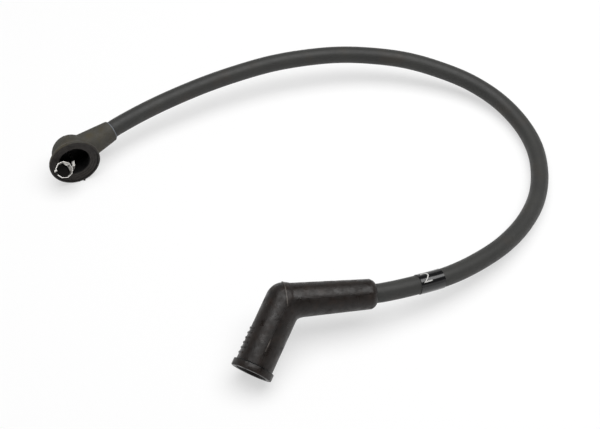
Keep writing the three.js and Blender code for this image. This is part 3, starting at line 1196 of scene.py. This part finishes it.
@dataclass
class Lead:
    """The wire with the printed band that is shrunk on it."""

    diameter: float = 7.0
    band_at: float = 307.8
    band_length: float = 9.8
    band_gap: float = 0.05
    band_thickness: float = 0.2
    figure_height: float = 4.6
    figure_turn: float = 0.6
    figure_shift: float = 2.1
    figure_wide: float = 1.3
    figure_thin: float = -0.09
    figure_slices: int = 14
    capital_share: float = 0.7
    band_crease: float = 40.0
    ink: float = 0.03
    route: Route = field(default_factory=Route)

    def build_wire(self) -> bpy.types.Object:
        """Lays the wire along its route, as one open curve with a round section.

        Returns:
            The finished wire.
        """
        curve = bpy.data.curves.new("ignition_cable", "CURVE")
        curve.dimensions = "3D"
        curve.bevel_depth = self.diameter / 2 * MM
        curve.bevel_resolution = 10
        curve.use_fill_caps = True
        spline = curve.splines.new("POLY")
        spline.points.add(len(self.route.points) - 1)
        for point, place in zip(spline.points, self.route.points):
            point.co = (*place, 1)
        spline.use_smooth = True
        wire = bpy.data.objects.new("ignition_cable", curve)
        bpy.context.scene.collection.objects.link(wire)
        return dressed(wire, JACKET.build())

    def build_band(self) -> bpy.types.Object:
        """Makes the thin sleeve round the wire, with rounded ends and its figure.

        Returns:
            The finished band.
        """
        inner = self.diameter / 2 + self.band_gap
        outer = inner + self.band_thickness
        soft = self.band_thickness / 2
        profile = [
            (inner, 0), (outer - soft, 0), (outer, soft),
            (outer, self.band_length - soft), (outer - soft, self.band_length),
            (inner, self.band_length),
        ]
        steps = 16
        wall = [
            (outer, soft + (self.band_length - 2 * soft) * step / steps) for step in range(1, steps)
        ]
        profile[3:3] = wall
        band = turned("printed_band", profile, 64, ring=True)
        modify(band, "TRIANGULATE")
        dressed(band, GlossBand().build())
        figure = self.build_figure(outer)
        join_into(band, figure)
        self.bend_round(band)
        surface_by_angle(band, self.band_crease)
        return band

    def build_figure(self, radius: float) -> bpy.types.Object:
        """Makes the band's figure as a thin layer of ink, wrapped on a straight cylinder.

        Args:
            radius: The cylinder's radius.

        Returns:
            The figure, with the cylinder's axis along Z.
        """
        drop_selection()
        bpy.ops.object.text_add(location=(0, 0, 0))
        figure = bpy.context.object
        figure.data.body = "2"
        figure.data.align_x = "CENTER"
        figure.data.align_y = "CENTER"
        figure.data.size = self.figure_height / self.capital_share
        figure.data.offset = self.figure_thin
        bpy.ops.object.convert(target="MESH")
        figure = bpy.context.object
        bpy.ops.object.mode_set(mode="EDIT")
        bpy.ops.mesh.select_all(action="SELECT")
        bpy.ops.mesh.remove_doubles(threshold=1e-4)
        reach = self.figure_height + self.figure_height / 10
        for index in range(1, self.figure_slices):
            height = reach * (index / self.figure_slices - 0.5)
            bpy.ops.mesh.select_all(action="SELECT")
            bpy.ops.mesh.bisect(plane_co=(0, height, 0), plane_no=(0, 1, 0))
        bpy.ops.object.mode_set(mode="OBJECT")
        modify(figure, "SOLIDIFY", thickness=self.ink, offset=1)
        middle = self.band_length / 2 + self.figure_shift
        for vertex in figure.data.vertices:
            along, round_by, proud = vertex.co
            turn = round_by / radius + self.figure_turn
            out = radius + abs(proud) - self.ink / 10
            vertex.co = (out * math.cos(turn), out * math.sin(turn), middle - along * self.figure_wide)
        tidy_mesh(figure, 1e-5)
        return dressed(figure, WhitePrint().build())

    def bend_round(self, band: bpy.types.Object) -> None:
        """Bends a straight band along the wire's route, with X towards the camera.

        Args:
            band: The straight band, with its length along Z from 0.
        """
        towards = Camera.towards()
        for vertex in band.data.vertices:
            x, y, z = vertex.co
            centre, _, out, across = self.route.frame_at((self.band_at + z) * MM, towards)
            vertex.co = centre + (out * x + across * y) * MM


# Boots


@dataclass
class CoilEnd:
    """The cupped boot of the coil end."""

    frame: BootFrame = COIL
    dome_radius: float = 7.8
    dome_at: float = -0.3
    rim_radius: float = 10.2
    rim_at: float = 5.6
    lip_height: float = 1.2
    bore: float = 6.1
    floor_at: float = -6.3
    sleeve_length: float = 19.2
    sleeve_radius: float = 4.2
    sleeve_taper: float = 0.11
    wire_bore: float = 3.65
    room: float = 4.32
    room_to: float = 13.6
    voxel: float = 0.2
    root_x: float = 5.5
    root_y: tuple[float, ...] = (-5.4, 0, 5.4)
    root_z: tuple[float, ...] = (-4, 1, 4)
    root_reach: float = 4.5
    root_rounds: int = 24
    line_x: Span = (-0.75, -0.55)
    line_height: float = 0.12

    def outer_cup(self) -> bpy.types.Object:
        """Turns the outside of the dome, its flare and its rim.

        Returns:
            The solid, in the boot's own frame.
        """
        profile = []
        steps = 16
        for index in range(1, steps + 1):
            turn = math.pi / 2 * (index / steps - 1)
            radius = self.dome_radius * math.cos(turn)
            profile.append((radius, self.dome_at + self.dome_radius * math.sin(turn)))
        profile += [
            (7.86, 0.6), (8.1, 1.5), (8.5, 2.4), (9.05, 3.2), (9.7, 3.9), (10.05, 4.3),
            (self.rim_radius, 4.65), (self.rim_radius, self.rim_at - 0.1), (10.08, self.rim_at),
        ]
        return turned("coil_boot_rubber", profile, 96)

    def outer_sleeve(self) -> bpy.types.Object:
        """Turns the outside of the sleeve, longer than it ends up.

        Returns:
            The solid, in the boot's own frame.
        """
        spare = 1.0
        root = self.sleeve_radius + self.sleeve_taper * self.sleeve_length
        end = self.sleeve_radius - self.sleeve_taper * spare
        profile = [(root, 0), (end, self.sleeve_length + spare)]
        sleeve = turned("sleeve", profile, 72)
        return transform(sleeve, self.frame.along_sleeve)

    def inner_cup(self) -> bpy.types.Object:
        """Turns the cup's hollow: its rounded floor, its bore and the stepped face of its mouth.

        Returns:
            The solid, in the boot's own frame.
        """
        top = self.rim_at
        bore = self.bore
        profile = [
            (3.4, self.floor_at), (4.6, -6.05), (5.4, -5.3), (5.85, -4.3), (6.05, -3.2), (bore, -0.6),
            (bore, 4.2), (bore + 0.05, 4.42), (bore + 0.2, 4.58), (bore + 0.45, 4.67),
            (7.15, 4.73), (7.22, 4.82), (8.15, 4.93), (8.22, 5.03), (9.0, 5.1), (9.12, 5.16),
            (9.2, 5.3), (9.32, top - 0.08), (9.42, top), (9.8, top + 2),
        ]
        return turned("cup_hollow", profile, 96)

    def wire_hole(self) -> bpy.types.Object:
        """Turns the hole for the wire and the room behind it for the crimp.

        Returns:
            The solid, in the boot's own frame.
        """
        length = self.sleeve_length
        step = self.room - self.wire_bore
        profile = [
            (self.room, 0), (self.room, self.room_to - step), (self.wire_bore, self.room_to),
            (self.wire_bore, length - 0.25), (self.wire_bore + 0.15, length + 0.01),
            (self.wire_bore + 0.2, length + 3),
        ]
        return transform(turned("wire_hole", profile, 72), self.frame.along_sleeve)

    def sleeve_trim(self) -> bpy.types.Object:
        """Turns the cutter that gives the sleeve its flat end and its chamfer.

        Returns:
            The solid, in the boot's own frame.
        """
        length = self.sleeve_length
        edge = self.sleeve_radius - 0.28
        profile = [
            (0.5, length), (edge, length), (self.sleeve_radius + 0.1, length - 0.5),
            (self.sleeve_radius + 3, length - 0.5), (self.sleeve_radius + 3, length + 4),
            (0.5, length + 4),
        ]
        return transform(turned("trim", profile, 72, ring=True), self.frame.along_sleeve)

    def build_boot(self) -> bpy.types.Object:
        """Builds the moulded boot.

        Returns:
            The finished boot.
        """
        boot = combine(self.outer_cup(), self.outer_sleeve(), Join.ADD)
        modify(boot, "REMESH", mode="VOXEL", voxel_size=self.voxel)
        modify(boot, "SMOOTH", factor=0.5, iterations=5)
        near = [Vector((self.root_x, y, z)) for y in self.root_y for z in self.root_z]
        smooth_near(boot, near, self.root_reach, self.root_rounds)
        for ridge in self.seams(boot):
            combine(boot, ridge, Join.ADD)
        combine(boot, self.sleeve_trim(), Join.CUT)
        combine(boot, self.inner_cup(), Join.CUT)
        for mark in self.rim_marks():
            combine(boot, mark, Join.ADD)
        combine(boot, self.wire_hole(), Join.CUT)
        surface_by_angle(boot, CREASE)
        transform(boot, self.frame.to_model)
        return dressed(boot, COIL_RUBBER.build())

    def seams(self, boot: bpy.types.Object) -> list[bpy.types.Object]:
        """Makes the mould line over the dome.

        Args:
            boot: The boot's outside.

        Returns:
            The ridges.
        """
        line = bar("line", self.line_x, (-14, 14), (-14, 8))
        return [seam_ridge(boot, line, self.line_height, "dome_line")]

    def rim_marks(self) -> list[bpy.types.Object]:
        """Makes the flash that the mould's joint leaves on the mouth's face, on either side.

        Returns:
            The ridges.
        """
        return [
            bar("flash", (-0.75, -0.45), (8.3, 10.15), (4.6, 5.68)),
            bar("step", (-0.5, -0.1), (6.9, 9.2), (4.4, 5.25)),
            bar("nub", (0.9, 1.7), (-10.3, -9.2), (4.9, 5.78)),
        ]


@dataclass
class CoilTerminal:
    """The folded terminal of the coil end: a split crown, a bent stem, a strap and a crimp."""

    steel: bpy.types.Material
    # Finish of the disc that stands for the shade inside the crown.
    painted_shade: bpy.types.Material
    frame: BootFrame = COIL
    sheet: float = 0.22
    crown_radius: float = 3.45
    crown_sides: int = 9
    crown_height: float = 2.2
    crown_taper: float = 0.21
    crown_mouth: tuple[float, float, float] = (-4.93, 1.6, 9.05)
    crown_way: tuple[float, float, float] = (0.24, 0.74, 0.63)
    split: float = 1.5
    leaf_height: float = 5.2
    leaf_turn: float = 30.0
    leaf_from: float = 1.5
    tab_overlap: float = 0.1
    tab_depth: float = 0.9
    tab_width: float = 0.7
    tab_height: float = 0.9
    floor_inset: float = 0.5
    floor_up: float = 0.1
    floor_thickness: float = 0.2
    flap_inner: float = 2.25
    flap_outer_at: float = -0.3
    flap_inner_at: float = -1.0
    flap_turn: float = 17.0
    flap_from: float = 1.75
    hole_radius: float = 0.36
    stem_width: float = 1.15
    stem_round: float = 0.22
    stem_across: tuple[float, float, float] = (1, 0.05, 0)
    stem_bends: tuple[tuple[float, float, float], ...] = (
        (-2.6, -1, 8.5), (-1.0, -2.56, 4.8), (-0.45, -1.05, 2.5), (-0.3, -2.4, 0.04),
        (-1.1, -0.9, -3.9),
    )
    crimp_inner: float = 3.6
    crimp_outer: float = 4.02
    crimp_from: float = 7.6
    crimp_length: float = 5.0
    crimp_seam: float = 1.5
    edge_round: float = 0.05
    strap_half: float = 1.3
    strap_from: float = -0.6

    def crown(self) -> bpy.types.Object:
        """Folds the crown: a ring of flats with a split, a tab, a leaf, a holed flap, and a near-black
        floor disc as painted shade inside the crown.

        Returns:
            That part of the terminal.
        """
        outer = self.crown_radius
        wall = outer - self.sheet
        low = -self.leaf_height
        narrow = self.crown_taper * self.leaf_height
        profile = [(wall - narrow, low), (outer - narrow, low), (outer, 0), (wall, 0)]
        crown = turned("coil_end_terminal", profile, self.crown_sides, ring=True)
        transform(crown, Matrix.Rotation(math.pi, 4, "Z"))
        half = self.split / 2
        height = self.crown_height
        turn = Matrix.Rotation(math.radians(self.leaf_turn), 4, "Z")
        past = outer + SPARE
        combine(crown, bar("split", (-past, 0), (-half, half), (-height, SPARE)), Join.CUT)
        beside = bar("beside", (-past, self.leaf_from), (-past, past), (low - SPARE, -height))
        combine(crown, transform(beside, turn), Join.CUT)
        combine(crown, self.flap(), Join.ADD)
        dressed(crown, self.steel)
        # A near-black disc inside the crown, as painted shade.
        radius = outer - self.floor_inset
        base = self.floor_up - height
        floor_profile = [(radius, base), (radius, base + self.floor_thickness)]
        floor = turned("floor", floor_profile, self.crown_sides)
        transform(floor, Matrix.Rotation(math.pi, 4, "Z"))
        combine(crown, dressed(floor, self.painted_shade), Join.ADD)
        tab_x = (-wall - self.tab_overlap, -wall + self.tab_depth)
        tab = bar("tab", tab_x, (half, half + self.tab_width), (-height, self.tab_height - height))
        combine(crown, tab, Join.ADD)
        way = Vector(self.crown_way).normalized()
        turn = Vector((0, 0, 1)).rotation_difference(way).to_matrix().to_4x4()
        return transform(crown, Matrix.Translation(self.crown_mouth) @ turn)

    def flap(self) -> bpy.types.Object:
        """Makes the flap that is folded in under the crown's rim, with its round hole.

        Returns:
            That part of the terminal.
        """
        wall = self.crown_radius - self.sheet / 2
        inner = self.flap_inner
        drop = self.sheet
        high, low = self.flap_outer_at, self.flap_inner_at
        profile = [(inner, low - drop), (wall, high - drop), (wall, high), (inner, low)]
        flap = turned("flap", profile, self.crown_sides, ring=True)
        transform(flap, Matrix.Rotation(math.pi, 4, "Z"))
        turn = Matrix.Rotation(math.radians(self.flap_turn), 4, "Z")
        past = wall + SPARE
        deep = (-past, past)
        near = bar("near", (self.flap_from, past), deep, deep)
        combine(flap, transform(near, turn), Join.KEEP)
        hole = turned("hole", [(self.hole_radius, -past), (self.hole_radius, past)], 24)
        place = turn @ Matrix.Translation((inner + self.hole_radius, 0, 0))
        return combine(flap, transform(hole, place), Join.CUT)

    def stem(self) -> bpy.types.Object:
        """Bends a flat strip from the crown to the strap.

        Returns:
            That part of the terminal.
        """
        bends = [Vector(bend) for bend in self.stem_bends]
        path = [bends[0]]
        for before, bend, after in zip(bends, bends[1:], bends[2:]):
            for share in (0.0, 0.25, 0.5, 0.75, 1.0):
                into = bend.lerp(before, self.stem_round * (1 - share))
                path.append(into.lerp(bend.lerp(after, self.stem_round * share), share))
        path.append(bends[-1])
        drop_selection()
        bpy.ops.mesh.primitive_grid_add(x_subdivisions=1, y_subdivisions=len(path) - 1, size=1)
        strip = bpy.context.object
        strip.name = "stem"
        across = Vector(self.stem_across).normalized() * self.stem_width
        for vertex in strip.data.vertices:
            row = round((vertex.co.y + 0.5) * (len(path) - 1))
            vertex.co = path[row] + across * vertex.co.x
        modify(strip, "SOLIDIFY", thickness=self.sheet, offset=0)
        tidy_mesh(strip, 1e-4)
        return strip

    def crimp(self) -> bpy.types.Object:
        """Folds the crimp round the jacket's end, with its open seam and its strap.

        Returns:
            That part of the terminal.
        """
        start, end = self.crimp_from, self.crimp_from + self.crimp_length
        inner, outer = self.crimp_inner, self.crimp_outer
        profile = [(inner, start), (outer, start), (outer, end), (inner, end)]
        crimp = turned("crimp", profile, 72, ring=True)
        half = self.crimp_seam / 2
        seam = bar("seam", (0, outer + SPARE), (-half, half), (start - SPARE, end + SPARE))
        combine(crimp, seam, Join.CUT)
        side = self.strap_half
        strap = bar("strap", (-outer, -inner), (-side, side), (self.strap_from, start + SPARE))
        combine(crimp, strap, Join.ADD)
        return transform(crimp, self.frame.along_sleeve)

    def build(self) -> bpy.types.Object:
        """Builds the whole terminal.

        Returns:
            The finished piece.
        """
        terminal = combine(self.crown(), self.stem(), Join.ADD)
        combine(terminal, self.crimp(), Join.ADD)
        modify(
            terminal, "BEVEL", width=self.edge_round, segments=2, limit_method="ANGLE",
            angle_limit=math.radians(35), use_clamp_overlap=True,
        )
        surface_by_angle(terminal, CREASE)
        return transform(terminal, self.frame.to_model)


@dataclass
class PlugEnd:
    """The angled boot of the plug end."""

    frame: BootFrame = PLUG
    leg_radius: float = 6.8
    leg_length: float = 27.8
    collar_radius: float = 7.6
    collar_height: float = 2.6
    socket: float = 5.25
    socket_depth: float = 16.0
    room: float = 4.5
    elbow_room: float = 5.15
    arm_length: float = 33.0
    arm_radius: float = 5.4
    arm_taper: float = 0.03
    fill_radius: float = 6.2
    bend_radius: float = 10.5
    wire_bore: float = 3.65
    crimp_room: float = 4.32
    crimp_room_to: float = 12.4
    ribs: int = 6
    rib_pitch: float = 1.85
    rib_from: float = 13.5
    voxel: float = 0.24
    inside_at: tuple[float, float] = (4.5, 4)
    inside_y: tuple[float, ...] = (-4, 0, 4)
    inside_reach: float = 6.6
    inside_rounds: int = 36

    def outer_leg(self) -> bpy.types.Object:
        """Turns the leg with the round back of the elbow.

        Returns:
            The solid, in the boot's own frame.
        """
        profile = []
        steps = 14
        for index in range(1, steps + 1):
            turn = math.pi / 2 * (index / steps - 1)
            profile.append((self.leg_radius * math.cos(turn), self.leg_radius * math.sin(turn)))
        profile.append((self.leg_radius, self.leg_length - 0.4))
        return turned("plug_boot_rubber", profile, 80)

    def outer_arm(self) -> bpy.types.Object:
        """Turns the arm, longer than it ends up.

        Returns:
            The solid, in the boot's own frame.
        """
        spare = 1.0
        root = self.arm_radius + self.arm_taper * self.arm_length
        end = self.arm_radius - self.arm_taper * spare
        profile = [(root, 0), (end, self.arm_length + spare)]
        return transform(turned("arm", profile, 72), self.frame.along_sleeve)

    def elbow_fill(self) -> bpy.types.Object:
        """Sweeps the fillet on the inside of the elbow.

        Returns:
            The solid, in the boot's own frame.
        """
        drop_selection()
        half = (math.pi - math.acos(self.frame.sleeve.z)) / 2
        reach = self.bend_radius * math.tan(half) + 1
        bpy.ops.curve.primitive_bezier_curve_add()
        obj = bpy.context.object
        obj.data.bevel_depth = self.fill_radius
        obj.data.bevel_resolution = 12
        obj.data.resolution_u = 20
        obj.data.use_fill_caps = True
        start, end = obj.data.splines[0].bezier_points
        for point, place in ((start, Vector((0, 0, reach))), (end, self.frame.sleeve * reach)):
            point.handle_left_type = point.handle_right_type = "FREE"
            point.co = place
            point.handle_left = point.handle_right = place / 3
        bpy.ops.object.convert(target="MESH")
        obj = bpy.context.object
        tidy_mesh(obj, 1e-4)
        return obj

    def collar(self) -> bpy.types.Object:
        """Turns the collar at the boot's mouth.

        Returns:
            The solid, in the boot's own frame.
        """
        low = self.leg_length - self.collar_height
        radius = self.collar_radius
        root = self.leg_radius
        profile = [
            (root - 1.2, low - 0.35), (root + 0.02, low - 0.35), (root + 0.18, low - 0.12),
            (root + 0.5, low), (radius - 0.25, low), (radius - 0.07, low + 0.07),
            (radius, low + 0.25), (radius, self.leg_length - 0.3),
            (radius - 0.08, self.leg_length - 0.08), (radius - 0.3, self.leg_length),
            (root - 1.2, self.leg_length),
        ]
        return turned("collar", profile, 96, ring=True)

    def grip_rib(self, at: float) -> bpy.types.Object:
        """Makes one low rib on the back of the leg.

        Args:
            at: How far along the leg it stands.

        Returns:
            The rib, with its root in the leg.
        """
        low, top = self.leg_radius - 0.6, self.leg_radius + 0.32
        profile = [
            (low, at - 0.45), (top - 0.1, at - 0.28), (top, at - 0.12),
            (top, at + 0.12), (top - 0.1, at + 0.28), (low, at + 0.45),
        ]
        rib = turned("rib", profile, 80, ring=True)
        return combine(rib, bar("sector", (-12, -5.95), (-3.2, 3.2), (at - 2, at + 2)), Join.KEEP)

    def socket_hollow(self) -> bpy.types.Object:
        """Turns the room for the terminal and the socket for the plug.

        Returns:
            The solid, in the boot's own frame.
        """
        floor = self.leg_length - self.socket_depth
        top = self.leg_length
        profile = [
            (self.room, 0), (self.room, floor), (self.socket, floor + 0.8),
            (self.socket, top - 0.9), (self.socket + 0.12, top - 0.5),
            (self.socket + 0.55, top + 0.02), (self.socket + 0.9, top + 3),
        ]
        return turned("socket", profile, 96)

    def elbow_hollow(self) -> bpy.types.Object:
        """Turns the round room in the elbow.

        Returns:
            The solid, in the boot's own frame.
        """
        profile = []
        steps = 16
        for index in range(1, steps):
            turn = math.pi * (index / steps - 0.5)
            radius = self.elbow_room * math.cos(turn)
            profile.append((radius, self.elbow_room * math.sin(turn)))
        return turned("elbow_room", profile, 48)

    def wire_hole(self) -> bpy.types.Object:
        """Turns the hole for the wire and the room behind it for the crimp.

        Returns:
            The solid, in the boot's own frame.
        """
        length = self.arm_length
        step = self.crimp_room - self.wire_bore
        profile = [
            (self.crimp_room, 0), (self.crimp_room, self.crimp_room_to - step),
            (self.wire_bore, self.crimp_room_to), (self.wire_bore, length - 0.35),
            (self.wire_bore + 0.25, length + 0.01), (self.wire_bore + 0.3, length + 3),
        ]
        return transform(turned("wire_hole", profile, 72), self.frame.along_sleeve)

    def arm_trim(self) -> bpy.types.Object:
        """Turns the cutter that gives the arm its stepped, rounded end.

        Returns:
            The solid, in the boot's own frame.
        """
        length = self.arm_length
        radius = self.arm_radius
        profile = [
            (0.5, length), (radius - 1.2, length), (radius - 0.62, length - 0.5),
            (radius - 0.3, length - 1.05), (radius + 0.06, length - 1.75), (radius + 3, length - 1.75),
            (radius + 3, length + 4), (0.5, length + 4),
        ]
        return transform(turned("trim", profile, 72, ring=True), self.frame.along_sleeve)

    def seams(self, boot: bpy.types.Object) -> list[bpy.types.Object]:
        """Makes the mould lines along the leg, over the elbow and along the arm.

        Args:
            boot: The boot's outside.

        Returns:
            The ridges.
        """
        sleeve = self.frame.along_sleeve
        pale = SEAM_RUBBER.build()
        leg = bar("leg_line", (0.66, 0.9), (-10, 10), (1.6, 26))
        flash = bar("flash", (0.5, 0.84), (0, 10), (15.2, 19.8))
        arm = transform(bar("arm_line", (0.2, 0.44), (-10, 10), (1.2, 31)), sleeve)
        ring = transform(bar("ring", (-10, 2.4), (-10, 10), (-0.26, 0.1)), sleeve)
        ticks = transform(bar("ticks", (0.9, 3.6), (0, 10), (12.3, 12.6)), sleeve)
        return [
            seam_ridge(boot, leg, 0.26, "leg_seam"),
            seam_ridge(boot, flash, 0.42, "leg_flash", pale),
            seam_ridge(boot, arm, 0.13, "arm_seam"),
            seam_ridge(boot, ring, 0.24, "elbow_seam", pale),
            seam_ridge(boot, ticks, 0.1, "arm_tick"),
        ]

    def build_boot(self) -> bpy.types.Object:
        """Builds the moulded boot.

        Returns:
            The finished boot.
        """
        boot = combine(self.outer_leg(), self.outer_arm(), Join.ADD)
        combine(boot, self.elbow_fill(), Join.ADD)
        modify(boot, "REMESH", mode="VOXEL", voxel_size=self.voxel)
        modify(boot, "SMOOTH", factor=0.5, iterations=5)
        x, z = self.inside_at
        near = [Vector((x, y, z)) for y in self.inside_y]
        smooth_near(boot, near, self.inside_reach, self.inside_rounds)
        dressed(boot, PLUG_RUBBER.build())
        for ridge in self.seams(boot):
            combine(boot, ridge, Join.ADD)
        for index in range(self.ribs):
            combine(boot, self.grip_rib(self.rib_from + index * self.rib_pitch), Join.ADD)
        combine(boot, self.collar(), Join.ADD)
        combine(boot, self.arm_trim(), Join.CUT)
        combine(boot, self.socket_hollow(), Join.CUT)
        combine(boot, self.elbow_hollow(), Join.CUT)
        combine(boot, self.wire_hole(), Join.CUT)
        surface_by_angle(boot, CREASE)
        return transform(boot, self.frame.to_model)


# Studio


@dataclass(frozen=True)
class Camera:
    """The camera, at the photograph's viewing angle."""

    elevation: float = 50.0
    target: tuple[float, float, float] = (0.0358, 0.0219, 0.0)
    distance: float = 0.472
    lens: float = 72.0
    sensor: float = 36.0

    @staticmethod
    def towards() -> Vector:
        """The way from the lead to the camera."""
        tilt = math.radians(Camera.elevation)
        return Vector((0, -math.cos(tilt), math.sin(tilt)))

    def build(self) -> bpy.types.Object:
        """Sets the camera up and makes it the scene's.

        Returns:
            The camera.
        """
        data = bpy.data.cameras.new("camera")
        data.lens = self.lens
        data.sensor_width = self.sensor
        data.sensor_fit = "HORIZONTAL"
        data.clip_start = 0.01
        camera = bpy.data.objects.new("camera", data)
        camera.location = Vector(self.target) + self.towards() * self.distance
        camera.rotation_euler = (math.radians(90 - self.elevation), 0, 0)
        bpy.context.scene.collection.objects.link(camera)
        bpy.context.scene.camera = camera
        return camera


@dataclass(frozen=True)
class Studio:
    """The pale floor with its raised edge, the lamp and the faint plain world."""

    floor_radius: float = 4.4
    floor_edge: tuple[tuple[float, float], ...] = ((5.0, 0.15), (5.5, 0.6), (5.7, 1.3), (5.7, 2.6))
    floor_under: float = -0.0001
    floor_colour: float = 0.93
    floor_white: float = 0.6
    floor_crease: float = 60.0
    key_power: float = 11.2
    key_size: tuple[float, float] = (1.4, 0.85)
    key_at: tuple[float, float, float] = (0.17, 0.07, 0.9)
    world: float = 0.12

    def build_floor(self) -> bpy.types.Object:
        """Lays the floor just under the lead, partly plain white to the camera.

        Returns:
            The floor.
        """
        drop_selection()
        radius, height = self.floor_radius, self.floor_under
        bpy.ops.mesh.primitive_circle_add(
            vertices=128, radius=radius, fill_type="NGON", location=(0, 0, height)
        )
        floor = bpy.context.object
        floor.name = "floor"
        bpy.ops.object.mode_set(mode="EDIT")
        bpy.ops.mesh.select_all(action="SELECT")
        for next_radius, next_height in self.floor_edge:
            lift = (0, 0, next_height - height)
            bpy.ops.mesh.extrude_edges_move(TRANSFORM_OT_translate={"value": lift})
            scale = next_radius / radius
            bpy.ops.transform.resize(value=(scale, scale, 1), center_override=(0, 0, next_height))
            radius, height = next_radius, next_height
        bpy.ops.object.mode_set(mode="OBJECT")
        surface_by_angle(floor, self.floor_crease)
        material, graph, shader = start_material("pale_floor")
        soft = graph.ramp(graph.noise(3.0, 2), 0.3, 0.7, 0.85, 0.95)
        graph.tree.links.new(soft, shader.inputs["Roughness"])
        pale = self.floor_colour
        shader.inputs["Base Color"].default_value = (pale, pale, pale, 1)
        shader.inputs["Specular IOR Level"].default_value = 0.0
        path = graph.add("LightPath").outputs
        seen = graph.maths("MAXIMUM", path["Is Camera Ray"], path["Is Glossy Ray"])
        seen = graph.maths("MAXIMUM", seen, path["Is Transmission Ray"])
        share = graph.maths("MULTIPLY", seen, self.floor_white)
        white = graph.add("Emission", {"Color": (1, 1, 1, 1), "Strength": 1.0}).outputs[0]
        mix = graph.add("MixShader", {0: share, 1: shader.outputs[0], 2: white}).outputs[0]
        end = next(node for node in graph.tree.nodes if node.type == "OUTPUT_MATERIAL")
        graph.tree.links.new(mix, end.inputs["Surface"])
        dressed(floor, material)
        return floor

    def build_lamps(self) -> None:
        """Hangs a wide soft lamp flat over the lead."""
        data = bpy.data.lights.new("key", "AREA")
        data.shape = "ELLIPSE"
        data.size, data.size_y = self.key_size
        data.energy = self.key_power
        lamp = bpy.data.objects.new("key", data)
        lamp.location = self.key_at
        bpy.context.scene.collection.objects.link(lamp)

    def build_world(self) -> None:
        """Lights the world faintly and evenly."""
        world = bpy.data.worlds.new("plain_world")
        bpy.context.scene.world = world
        world.use_nodes = True
        world.node_tree.nodes.clear()
        graph = Graph(world.node_tree)
        back = graph.add("Background", {"Color": (1, 1, 1, 1), "Strength": self.world})
        graph.add("OutputWorld", {"Surface": back.outputs[0]})


def install(piece: bpy.types.Object, slot: Slot, *nodes: str) -> None:
    """Hands a finished piece to the model.

    Args:
        piece: The piece, in place.
        slot: The record's slot for the piece; not used.
        nodes: The solids that it stands for.
    """
    if nodes:
        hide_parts(*nodes)
    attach(piece, "root")
    LOG.info("%s stands for %s", piece.name, ", ".join(nodes) or "nothing")


def main() -> None:
    """Builds the camera, the lead, its boots and the studio, in that order."""
    logging.basicConfig(level=logging.INFO)
    bpy.context.scene.view_settings.view_transform = "Standard"
    Camera().build()

    lead = Lead()
    wire = lead.build_wire()
    band = lead.build_band()
    install(wire, Slot.WIRE, "ignition_wire")
    install(band, Slot.BAND, "number_band")

    install(CoilEnd().build_boot(), Slot.COIL_RUBBER, "coil_boot")
    install(PlugEnd().build_boot(), Slot.PLUG_RUBBER, "plug_boot")

    steel = FoldedSteel().build()
    thread = ConductorStrand().build()
    # A darker copy of the plated sheet for the coil terminal, with painted shade over its part deep in
    # the cup.
    shaded_in_cup = FoldedSteel(
        name="darker_sheet_painted_shade",
        bright=(156, 152, 147),
        tarnish=(96, 89, 83),
        rough=(0.34, 0.55),
        shade_cup=COIL,
    )
    coil_terminal = CoilTerminal(shaded_in_cup.build(), CROWN_SHADE_FLOOR.build()).build()
    install(coil_terminal, Slot.STEEL, "coil_terminal")
    dressed(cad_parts["plug_terminal"], steel)
    for name in ("coil_strand", "plug_strand"):
        dressed(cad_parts[name], thread)

    studio = Studio()
    studio.build_floor()
    studio.build_lamps()
    studio.build_world()


if __name__ == "__main__":
    main()
